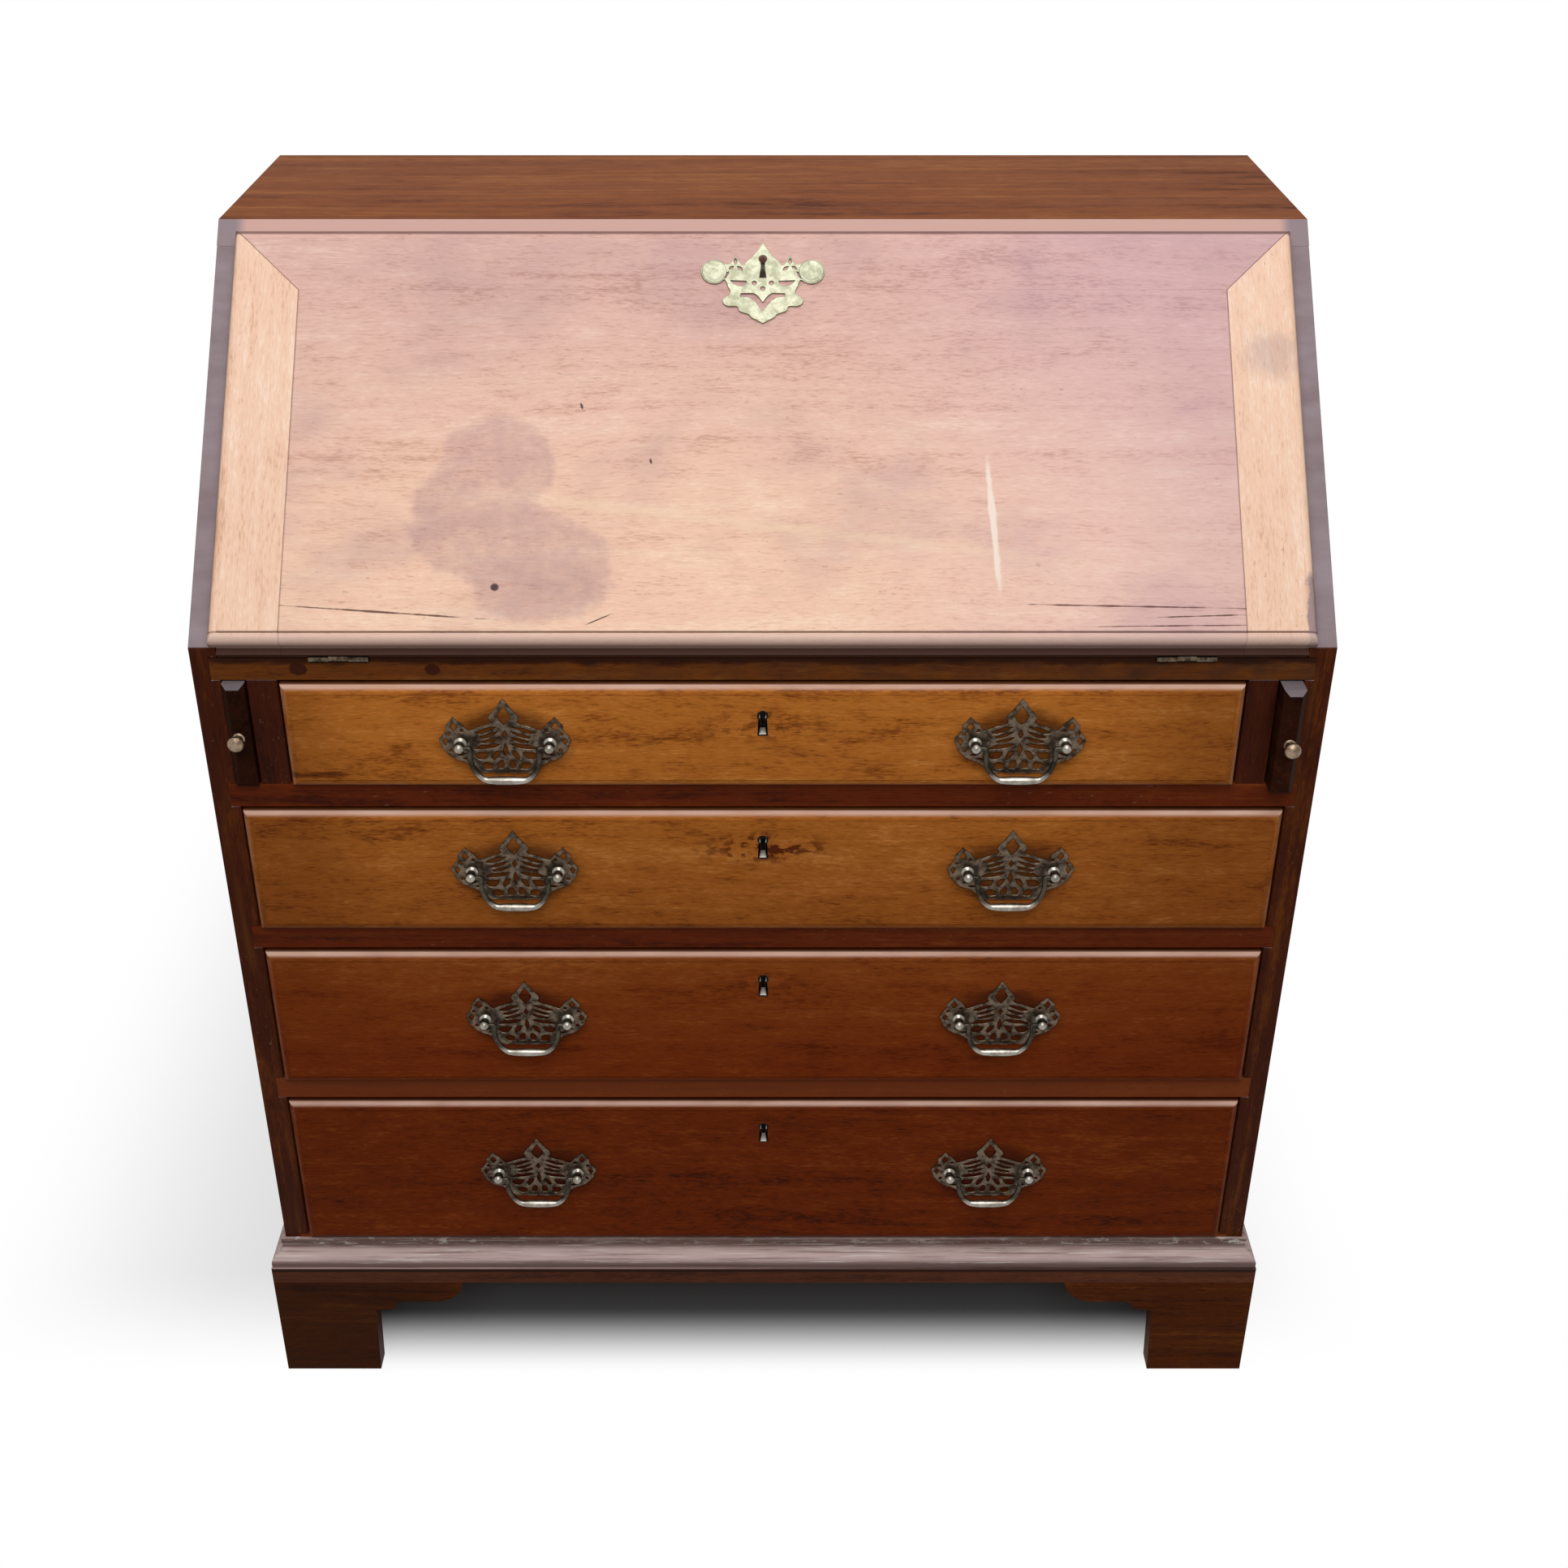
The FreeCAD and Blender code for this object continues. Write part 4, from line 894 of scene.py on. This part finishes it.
metal_looks = (
    ("dark_brass", "6A5C4E", "2E241C", (0.3, 0.46), 0.25),
    ("knob_brass", "94806C", "56443A", (0.3, 0.45), 0.2),
    ("bright_brass", "A2A28E", "8E8E78", (0.46, 0.56), 0.1),
    ("lock_steel", "7C7872", "4A4038", (0.4, 0.6), 0.3),
    ("lock_iron", "3A342E", "18120E", (0.5, 0.65), 0.3))
dark_brass, knob_brass, bright_brass, lock_steel, lock_iron = [
    made_finish(name, metal, *look) for name, *look in metal_looks]
rubbed_highlit_brass = made_finish("rubbed_highlit_brass", rubbed_highlit_metal)
liner_brass = made_finish("liner_brass", liner_metal)
print("metals:", dark_brass.name, knob_brass.name, bright_brass.name, rubbed_highlit_brass.name, lock_steel.name)

# %% [markdown]
# ## Boards with softened edges
# A CAD board has edges as sharp as a razor, and real edges catch the light because they are worn round.
# Each visible board is copied from its node, its loose triangles are merged and flat faces are joined. All
# but the moulding and the feet then get a narrow rounded bevel on their sharp edges. The copy stands for
# the node.

# %% Select, edit and copy
def choose(*things):
    """Select these objects and nothing else."""
    bpy.ops.object.select_all(action="DESELECT")
    for thing in things:
        thing.select_set(True)
    bpy.context.view_layer.objects.active = things[0]


@contextmanager
def editing(piece, action=None):
    """Edit mode on a piece, with everything or nothing selected if an action says so."""
    choose(piece)
    bpy.ops.object.mode_set(mode="EDIT")
    if action:
        bpy.ops.mesh.select_all(action=action)
    yield
    bpy.ops.object.mode_set(mode="OBJECT")


def twin(piece, name):
    """A copy of a piece with its own mesh."""
    choose(piece)
    bpy.ops.object.duplicate()
    made = bpy.context.object
    made.name = name
    return made


def copy_of(node, name):
    """A merged copy of a CAD node, its flat faces joined."""
    piece = twin(nodes[node], name)
    del piece["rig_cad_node"]
    with editing(piece, "SELECT"):
        bpy.ops.mesh.customdata_custom_splitnormals_clear()
        bpy.ops.mesh.remove_doubles(threshold=0.00001)
        bpy.ops.mesh.dissolve_limited(angle_limit=math.radians(0.5))
    return piece


print("copies ready")


# %% Soften and finish
sharp_edge = 30
soft_bend = 35


def ease_edges(piece, width):
    """Round every sharp edge by a width."""
    with editing(piece, "DESELECT"):
        bpy.ops.mesh.select_mode(type="EDGE")
        bpy.ops.mesh.edges_select_sharp(sharpness=math.radians(sharp_edge))
        bpy.ops.mesh.bevel(offset=width, segments=2, affect="EDGES", clamp_overlap=True)


def smooth(piece, angle=soft_bend):
    """Smooth shading over soft bends, with large flat faces kept flat."""
    choose(piece)
    bpy.ops.object.shade_smooth_by_angle(angle=math.radians(angle))
    flatten = piece.modifiers.new("flatten", "WEIGHTED_NORMAL")
    flatten.keep_sharp = True
    flatten.weight = 100
    bpy.ops.object.modifier_apply(modifier=flatten.name)


def finish_piece(piece, finish, body, slot, *stands_for):
    """Give a piece its finish, its body and the nodes that it stands for; the slot is not used."""
    piece.data.materials.clear()
    piece.data.materials.append(finish)
    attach(piece, body)
    if stands_for:
        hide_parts(*stands_for)


def soft_board(node, finish, slot, width):
    """A softened copy of a node, in place of it."""
    piece = copy_of(node, node + "_board")
    if width:
        ease_edges(piece, width)
    smooth(piece)
    finish_piece(piece, finish, body_of_node[node], slot, node)
    print(piece.name, len(piece.data.polygons), "faces")


print("edge softening ready")

# %% Soften the case, the fall and the drawer fronts
for node, finish, width in (
        ("left_side", upright_wood, 0.0012), ("right_side", upright_wood, 0.0012),
        ("top_board", top_wood, 0.0014), ("hinge_rail", hinge_rail_wood, 0.0008),
        ("drawer_rails", rail_wood, 0.0008), ("base_moulding", moulding_wood, 0),
        ("front_bracket_feet", foot_wood, 0), ("rear_bracket_feet", foot_wood, 0)):
    soft_board(node, finish, "case_mahogany", width)
lip_ease = 0.0005
for node, finish, slot in (
        ("fall_panel", panel_wood, "faded_mahogany"), ("fall_top_rail", panel_wood, "faded_mahogany"),
        ("fall_cleats", end_wood, "pale_mahogany"),
        *[(drawer + "_front", front_wood, "drawer_mahogany") for drawer in drawers]):
    soft_board(node, finish, slot, lip_ease)

# %% [markdown]
# ## Boards that stay as they are
# The muntins, lopers, drawer boxes, inside fittings and back have the right shape already, and little of
# them shows. They keep their CAD meshes and only get the finish of their wood, and so do the bolts, the
# hinges and the fall's lock with their metal.

# %% Finish the other nodes
for finish, members in (
        (upright_wood, ["loper_partitions"]), (rail_wood, ["bottom_board"]), (rough_deal, ["dustboards"]),
        (inside_wood, ["writing_bed", "pigeonhole_partitions", "pigeonhole_shelf", "pigeonhole_valances",
                       *["inner_" + drawer for drawer in drawers]]),
        (back_deal, ["back_boards"]), (slide_wood, ["left_loper", "right_loper"]),
        (box_oak, [drawer + "_box" for drawer in drawers]),
        (lock_steel, ["fall_lock", "fall_lock_bolt", *[drawer + "_lock_bolt" for drawer in drawers]]),
        (dark_brass, ["fall_hinge_leaves", "case_hinge_leaves"])):
    for node in members:
        for holder in nodes[node].material_slots:
            holder.material = finish
    print(finish.name, "on", len(members), "nodes")

# %% [markdown]
# ## Handle plates
# Each handle has a plate of cast brass with a pointed crest, pierced so that the wood shows between its
# straps. Each hole could be cut out of a solid. A flat curve is closer to the way such plates were made,
# from a drawing: the outline and the holes are closed lines, which are filled, given a thickness and a
# rounded edge, and made a mesh. A line stays pointed where it turns sharply, and is rounded elsewhere.

# %% Draw closed lines
sharp_turn = math.radians(58)


def draw_line(drawing, points):
    """A closed line through points in millimetres, pointed where it turns sharply."""
    line = drawing.splines.new("BEZIER")
    line.bezier_points.add(len(points) - 1)
    line.use_cyclic_u = True
    for place, knot in enumerate(line.bezier_points):
        here = Vector(points[place])
        before = here - Vector(points[place - 1])
        after = Vector(points[(place + 1) % len(points)]) - here
        bend = "VECTOR" if before.angle(after) > sharp_turn else "AUTO"
        knot.co = (here.x / 1000, here.y / 1000, 0)
        knot.handle_left_type = bend
        knot.handle_right_type = bend


def drawn_mesh(drawn):
    """A drawn curve made a mesh, its seams merged and its faces turned outwards."""
    choose(drawn)
    bpy.ops.object.convert(target="MESH")
    made = bpy.context.object
    with editing(made, "SELECT"):
        bpy.ops.mesh.remove_doubles(threshold=0.000001)
        bpy.ops.mesh.normals_make_consistent(inside=False)
    return made


print("lines turn sharply past", round(math.degrees(sharp_turn)), "degrees")


# %% Fill them as a plate
def pierced_plate(name, lines, thickness, edge):
    """A flat plate in X and Y from its outline and its holes, in millimetres, with rounded edges."""
    plate = started(name, bpy.ops.curve.primitive_bezier_circle_add, radius=0.01)
    drawing = plate.data
    drawing.splines.clear()
    for points in lines:
        draw_line(drawing, points)
    drawing.dimensions = "2D"
    drawing.fill_mode = "BOTH"
    drawing.resolution_u = 4
    drawing.extrude = (thickness / 2 - edge) / 1000
    drawing.bevel_depth = edge / 1000
    drawing.bevel_resolution = 2
    drawing.offset = -edge / 1000
    plate = drawn_mesh(plate)
    plate.data.transform(Matrix.Translation((0, 0, thickness / 2000)))
    return plate


print("plates ready")


# %% Lines on both sides
def reflected(points):
    """The points on the other side of the middle line."""
    return [(-wide, up) for wide, up in reversed(points)]


def whole(half):
    """A closed outline from its right half."""
    return half + reflected(half[1:-1])


def both(holes):
    """Holes on the right and their reflections."""
    return holes + [reflected(hole) for hole in holes]


def circle(wide, up, radius):
    """Eight points round a circle."""
    angles = [math.radians(45 * step) for step in range(8)]
    return [(wide + radius * math.cos(angle), up + radius * math.sin(angle)) for angle in angles]


def leaf(start, end, swell):
    """A pointed leaf between two points."""
    run = Vector(end) - Vector(start)
    aside = run.orthogonal().normalized() * swell
    middle = (Vector(start) + Vector(end)) / 2
    return [start, tuple(middle + aside), end, tuple(middle - aside)]


print("a circle has", len(circle(0, 0, 1)), "points")

# %% The plate's outline and holes
plate_outline = whole([
    (0, 41), (2.6, 37.2), (7.4, 30.2), (11.8, 24.8), (12.2, 22.4), (10.4, 19.8), (12.4, 17.8),
    (20, 15.4), (26.4, 12.6), (29.4, 11.6), (31.6, 13.8), (34.2, 17.6), (37.4, 20), (41.2, 24),
    (44.2, 19.8), (47.6, 15.6), (47.4, 12.4), (50, 8.4), (53.5, 2.6), (51.6, -1.4), (50.8, -5.2),
    (47.8, -9), (43.9, -13.2), (39.6, -15.6), (35, -17.2), (30, -20.2), (26.6, -23.8), (21.6, -27.8),
    (14, -27.2), (7, -28.4), (0, -27.6)])
middle_holes = [
    [(0, 34), (3.4, 28.8), (5.4, 25), (4.2, 21.8), (0, 16.8), (-4.2, 21.8), (-5.4, 25), (-3.4, 28.8)],
    [(0, 11.8), (2.2, 8.2), (0, 4.4), (-2.2, 8.2)],
    leaf((0, 0.4), (0, -12), 1.8)]
strap_holes = both([
    [(6.2, 15), (12, 14.8), (24.4, 10.2), (22.4, 8.8), (10, 12.6)],
    [(5, 11), (10, 9.6), (21.2, 5.8), (18.8, 4.4), (8.8, 7.8)],
    [(4.6, 5.6), (9, 4.8), (19.8, 1.6), (17.6, 0), (7.2, 3)],
    [(4, -0.8), (9, -0.2), (23.4, -3.6), (25, -5.8), (9.2, -3.8)],
    [(4.4, -7), (8.4, -7.6), (11.4, -13.2), (10, -15.6), (6, -11.4)],
    [(13.6, -8.2), (24, -9.2), (25.8, -11.8), (21.4, -15), (16, -13)],
    [(2.6, -16), (4.4, -15.4), (7.4, -19.2), (6.8, -23), (3.4, -23.2), (2, -19.6)],
    [(11.8, -19), (16.8, -17.4), (20.8, -19.6), (17.4, -23.8), (11.6, -23.6)]])
lobe_holes = both([
    [(41.2, 19.6), (43.9, 15.6), (41.2, 11.2), (37.8, 14.8)],
    [(46.2, 2.6), (48.6, 5), (50.8, 2.2), (48.4, -1.8)],
    circle(34.6, 11.6, 1.3), circle(46, 8.6, 1.5), circle(44.4, -6.6, 1.5), circle(36.5, 0, 2.7),
    leaf((31.5, -9), (40.5, -11.2), 1.3), leaf((27.6, -15), (35.5, -14.2), 1.1)])
print("plate has", len(middle_holes + strap_holes + lobe_holes), "holes")

# %% Make one plate
quarter_turn = math.radians(90)
upright_turn = Matrix.Rotation(quarter_turn, 4, "X")
brass_angle = 40
brass_thickness = 1.8
plate_lines = [plate_outline] + middle_holes + strap_holes + lobe_holes
plate = pierced_plate("handle_plate", plate_lines, brass_thickness, edge=0.75)
plate.data.transform(upright_turn)
smooth(plate, brass_angle)
print("plate", [round(side * 1000, 1) for side in plate.dimensions], "mm,", len(plate.data.polygons), "faces")

# %% [markdown]
# ## Posts
# A post is turned: a spreading collar on the plate, a neck, a round head that holds the bail and a shank
# through the drawer's front. It could be a spun profile. Here a disc is drawn out ring by ring, as on a
# lathe, which keeps every radius and step in one list, and the head is then bored for the bail's pin.

# %% Turn a shape ring by ring
def turned(name, rings, sides):
    """A turned shape along -Y from rings of radius and distance, in millimetres."""
    radius, start = rings[0]
    piece = started(name, bpy.ops.mesh.primitive_circle_add, vertices=sides, radius=radius / 1000,
                    fill_type="NGON", location=(0, -start / 1000, 0), rotation=(quarter_turn, 0, 0))
    bpy.ops.object.transform_apply(location=True, rotation=True, scale=True)
    with editing(piece, "SELECT"):
        for wide, far in rings[1:]:
            bpy.ops.mesh.extrude_region_move(TRANSFORM_OT_translate={"value": (0, (start - far) / 1000, 0)})
            bpy.ops.transform.resize(value=(wide / radius, 1, wide / radius))
            radius, start = wide, far
        bpy.ops.mesh.select_all(action="SELECT")
        bpy.ops.mesh.normals_make_consistent(inside=False)
    return piece


post = turned("handle_post", [
    (2.5, -22.8), (2.5, 1.8), (5.5, 1.8), (5.6, 2.2), (5.1, 2.9), (3.7, 3.9), (3.1, 5.2), (3.4, 6.4),
    (4.4, 8), (4.8, 9.6), (4.7, 11.2), (4.0, 12.9), (2.6, 14.2), (1.2, 14.7)], 20)
print("post has", len(post.data.polygons), "faces")

# %% Bore its head
pin_out = pins[0].y - face_plane
drill = started("drill", bpy.ops.mesh.primitive_cylinder_add, vertices=20, radius=0.0023, depth=0.012,
                location=(0, pin_out, 0), rotation=(0, quarter_turn, 0))
choose(post)
cut = post.modifiers.new("bore", "BOOLEAN")
cut.operation = "DIFFERENCE"
cut.object = drill
bpy.ops.object.modifier_apply(modifier=cut.name)
bpy.data.objects.remove(drill)
smooth(post, brass_angle)
print("bored post has", len(post.data.polygons), "faces")


# %% Brighten its end: wear and a painted highlight
def mark_rub_and_highlight(piece, rule):
    """Write on every point of a piece its share of wear and painted highlight, from 0 to 1 by a rule."""
    rubbed_and_highlit = piece.data.attributes.new("rubbed_and_highlit", "FLOAT", "POINT")
    for point, share in zip(piece.data.vertices, rubbed_and_highlit.data):
        share.value = min(1, max(0, rule(point)))


# The post's end is bright from wear and from a painted highlight where it faces forward.
mark_rub_and_highlight(post, lambda point: (-point.normal.y - 0.35) / 0.3)
print("post worn at its end")

# %% [markdown]
# ## Nuts
# Inside the drawer each shank ends in a small square nut. It starts as a cube and gets a raised round boss
# and softened edges, like the hand-filed nuts on old handles.

# %% Make a nut
nut_width = 0.011
nut_thickness = 0.003
nut_middle = 0.0166
nut = started("handle_nut", bpy.ops.mesh.primitive_cube_add, size=1, location=(0, nut_middle, 0))
bpy.ops.transform.resize(value=(nut_width, nut_thickness, nut_width))
bpy.ops.object.transform_apply(location=True, rotation=True, scale=True)
with editing(nut, "DESELECT"):
    bpy.ops.mesh.select_mode(type="FACE")
for face in nut.data.polygons:
    face.select = face.normal.y > 0.9
with editing(nut):
    bpy.ops.mesh.inset(thickness=0.0022, depth=0.0)
    bpy.ops.mesh.extrude_region_move(TRANSFORM_OT_translate={"value": (0, 0.0012, 0)})
    bpy.ops.transform.resize(value=(0.8, 1, 0.8))
ease_edges(nut, 0.0005)
smooth(nut, brass_angle)
print("nut has", len(nut.data.polygons), "faces")


# %% Set the plates, posts and nuts on every drawer
def set_copy(piece, name, move):
    """A copy of a piece, moved within its mesh."""
    made = twin(piece, name)
    made.data.transform(Matrix.Translation(move))
    return made


def as_one(name, pieces):
    """Several pieces joined into one."""
    choose(*pieces)
    bpy.ops.object.join()
    made = bpy.context.object
    made.name = name
    return made


post_half = 0.0365
for drawer, pin in zip(drawers, pins):
    middles = [Vector((side * pin.x, face_plane, pin.z)) for side in (-1, 1)]
    feet = [middle + Vector((side * post_half, 0, 0)) for middle in middles for side in (-1, 1)]
    plates = as_one(drawer + "_plates", [set_copy(plate, "plate", middle) for middle in middles])
    posts = as_one(drawer + "_posts", [set_copy(post, "post", foot) for foot in feet])
    nuts = as_one(drawer + "_nuts", [set_copy(nut, "nut", foot) for foot in feet])
    finish_piece(plates, dark_brass, drawer, "aged_brass", drawer + "_handle_plates")
    finish_piece(posts, rubbed_highlit_brass, drawer, "aged_brass", drawer + "_handle_plates")
    finish_piece(nuts, dark_brass, drawer, "aged_brass")
    print(plates.name, posts.name, nuts.name)
for pattern in (plate, post, nut):
    bpy.data.objects.remove(pattern)

# %% [markdown]
# ## Bails
# A bail is a bent rod: two pins that turn in the posts, arms that fall from them, and a swelled grip that
# hands have worn bright. It could be bent from a cylinder, but the bends would pinch. Here a smooth path is
# drawn through the points of the bail, given a round section with its own radius at each point, and made a
# mesh.

# %% Bend one bail
bail_half = [
    (0, -30, 3.7), (6, -30, 3.7), (12, -30, 3.3), (17, -29.6, 2.7), (21.5, -26, 2.3), (25.5, -20, 2.2),
    (28, -12, 2.2), (28.4, -5, 2.2), (27.4, -0.4, 2.2), (29.5, 0, 2.1), (32, 0, 2.0), (36.5, 0, 2.0),
    (39.2, 0, 2.0)]
bail_points = [(-wide, up, radius) for wide, up, radius in reversed(bail_half[1:])] + bail_half


def bent_rod(name, points):
    """A round rod along a smooth path in X and Z, from points with their radius in millimetres."""
    rod = started(name, bpy.ops.curve.primitive_nurbs_path_add)
    path = rod.data
    path.splines.clear()
    line = path.splines.new("NURBS")
    line.points.add(len(points) - 1)
    for knot, (wide, up, radius) in zip(line.points, points):
        knot.co = (wide / 1000, 0, up / 1000, 1)
        knot.radius = radius
    line.order_u = 3
    line.use_endpoint_u = True
    line.resolution_u = 3
    path.bevel_depth = 0.001
    path.bevel_resolution = 3
    path.use_fill_caps = True
    rod = drawn_mesh(rod)
    bpy.ops.object.shade_smooth_by_angle(angle=math.radians(50))
    return rod


bail_pattern = bent_rod("bail", bail_points)
print("bail", [round(side * 1000, 1) for side in bail_pattern.dimensions], "mm")

# %% Wear the grips and hang the bails
mark_rub_and_highlight(bail_pattern, lambda point: (-0.0225 - point.co.z) / 0.004)
for drawer in drawers:
    for side in ("left", "right"):
        body = f"{drawer}_{side}_bail"
        bail = set_copy(bail_pattern, body + "_rod", pivot_of_body[body])
        finish_piece(bail, rubbed_highlit_brass, body, "aged_brass", body)
        print(bail.name, len(bail.data.polygons), "faces")
bpy.data.objects.remove(bail_pattern)

# %% [markdown]
# ## Loper knobs
# Each loper is drawn out by a small brass knob with a narrow neck and a domed end. It is turned in the same
# way as the posts, and stands where the CAD knob does.

# %% Turn the knobs
knob_pin = 0.008
for side in ("left", "right"):
    low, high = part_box(f"{side}_loper_knob")
    knob = turned(f"{side}_loper_pull", [
        (3.3, -7.8), (3.3, 0), (5, 0), (5, 1.2), (3.8, 2), (3.5, 4.6), (4.4, 6.4), (6.4, 8.6), (7, 10.4),
        (6.7, 12), (5.4, 13.6), (3, 14.7), (1, 15)], 24)
    knob.data.transform(Matrix.Translation(((low.x + high.x) / 2, high.y - knob_pin, (low.z + high.z) / 2)))
    smooth(knob, brass_angle)
    finish_piece(knob, knob_brass, f"{side}_loper", "aged_brass", f"{side}_loper_knob")
    print(knob.name, len(knob.data.polygons), "faces")

# %% [markdown]
# ## Keyholes
# Every drawer has a liner let into its keyhole. Its walls are painted nearly black for the shade in the hole,
# and its floor, where light falls into the hole, is painted bright: a bright spot under a black hole. The
# lock's case is copied from its node, without the CAD liner, and the new liner is drawn like a plate with one
# hole and given its real depth.

# %% Draw a keyhole
key_radius = 3.4
key_length = 17
key_half = 2.8


def key_line(eye, spare):
    """The outline of a keyhole, grown by a spare width, in millimetres."""
    radius = key_radius + spare
    angles = [math.radians(angle) for angle in range(-58, 239, 37)]
    round_eye = [(radius * math.cos(angle), eye + radius * math.sin(angle)) for angle in angles]
    low = eye - key_length - spare
    return round_eye + [(-key_half - spare, low), (key_half + spare, low)]


print("keyhole is", key_radius + key_length, "mm high")


# %% Line the keyholes
liner_depth = 0.012
liner_wall = 1.5


def parts_of(piece):
    """The loose parts of a piece as separate objects."""
    with editing(piece, "SELECT"):
        bpy.ops.mesh.separate(type="LOOSE")
    return list(bpy.context.selected_objects)


liner = pierced_plate("key_liner", [key_line(0, liner_wall), key_line(0, 0)], liner_depth * 1000, edge=0.3)
liner.data.transform(Matrix.Translation((0, liner_depth, 0)) @ upright_turn)
smooth(liner, brass_angle)
for drawer, up in zip(drawers, key_heights):
    *others, lock_case = sorted(parts_of(copy_of(drawer + "_lock", drawer + "_lock_case")),
                                key=lambda part: part.dimensions.x)
    for other in others:
        bpy.data.objects.remove(other)
    lock_case.name = drawer + "_lock_case"
    ease_edges(lock_case, 0.0001)
    smooth(lock_case)
    finish_piece(lock_case, lock_iron, drawer, "bright_brass", drawer + "_lock")
    lining = set_copy(liner, drawer + "_key_liner", (0, face_plane, up))
    finish_piece(lining, liner_brass, drawer, "bright_brass", drawer + "_lock")
    print(lock_case.name, lining.name)
bpy.data.objects.remove(liner)

# %% [markdown]
# ## Escutcheon
# The plate round the fall's keyhole is bright pierced brass: a pointed shield with a leaf and a round boss
# to each side, three dots and a pointed apron. It is drawn like the handle plates, laid on the slope where
# its CAD node lies, and gets a turned disc with a shallow dish on each boss.

# %% The shield's outline and holes
boss_across = 40
boss_up = -2.75
boss_radius = 11
boss_angles = [math.radians(angle) for angle in range(140, -141, -28)]
boss_edge = [(boss_across + boss_radius * math.cos(angle), boss_up + boss_radius * math.sin(angle))
             for angle in boss_angles]
shield_outline = whole([
    (0, 24.5), (2.2, 20.2), (6, 14.6), (10, 9.6), (14.6, 5), (15.4, 3.2), (17.2, 3), (19, 6),
    (22.6, 12.5), (25.6, 6.6), (28.4, 4), *boss_edge, (29.6, -13.4), (29, -16), (27.4, -19),
    (26.8, -21.4), (28.6, -24.2), (32.6, -26.6), (33, -30.6), (29.4, -33.8), (24, -34), (21, -34.6),
    (19.6, -38), (15.4, -40), (11.4, -41.6), (9.6, -44), (5, -46.6), (0, -49.5)])
apron_hole = whole([
    (0, -30.6), (7, -22.8), (12, -22.4), (18, -22.6), (18.4, -25.4), (10.6, -26.4), (0, -38.6)])
shield_holes = [key_line(8.5, 0), apron_hole, circle(0, -18.2, 1.9)] + both([
    circle(7, -13.2, 1.9), leaf((22.6, 9.4), (22.6, 3.4), 1.3), leaf((21.2, 2), (16.6, -1.8), 1.4),
    leaf((24, 2), (28, -0.6), 1.2), leaf((28, -2.8), (34.2, -10.4), 1.7),
    [(13.8, -13.6), (13.4, -11.4), (26.6, -10.8), (23.4, -14.2), (16, -15.6)]])
print("shield has", len(shield_holes), "holes")

# %% Lay the shield on the slope
fall_thickness = 0.021
shield_up = 0.3291
on_slope = (Matrix.Translation(hinge_line) @ Matrix.Rotation(slope, 4, "X")
            @ Matrix.Translation((0, shield_up, fall_thickness)))
shield = pierced_plate("shield", [shield_outline] + shield_holes, brass_thickness, edge=0.55)
bosses = []
for wide in (-boss_across, boss_across):
    boss = turned("boss", [
        (10.4, 0.6), (10.4, 1.6), (10.1, 2.1), (9.4, 2.4), (8.4, 2.3), (7.6, 1.9), (5, 1.75), (3, 1.8),
        (2.2, 2.1), (1, 2.2)], 28)
    boss.data.transform(Matrix.Translation((wide / 1000, boss_up / 1000, 0)) @ upright_turn.inverted())
    bosses.append(boss)
shield = as_one("keyhole_shield", [shield] + bosses)
shield.data.transform(on_slope)
smooth(shield, brass_angle)
finish_piece(shield, bright_brass, "fall", "bright_brass", "fall_escutcheon")
print(shield.name, len(shield.data.polygons), "faces")

# %% [markdown]
# ## Sizes
# The visual model's box is measured and printed.

# %% Measure and finish
low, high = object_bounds()
print("visual box", [round(value, 4) for value in low], [round(value, 4) for value in high])
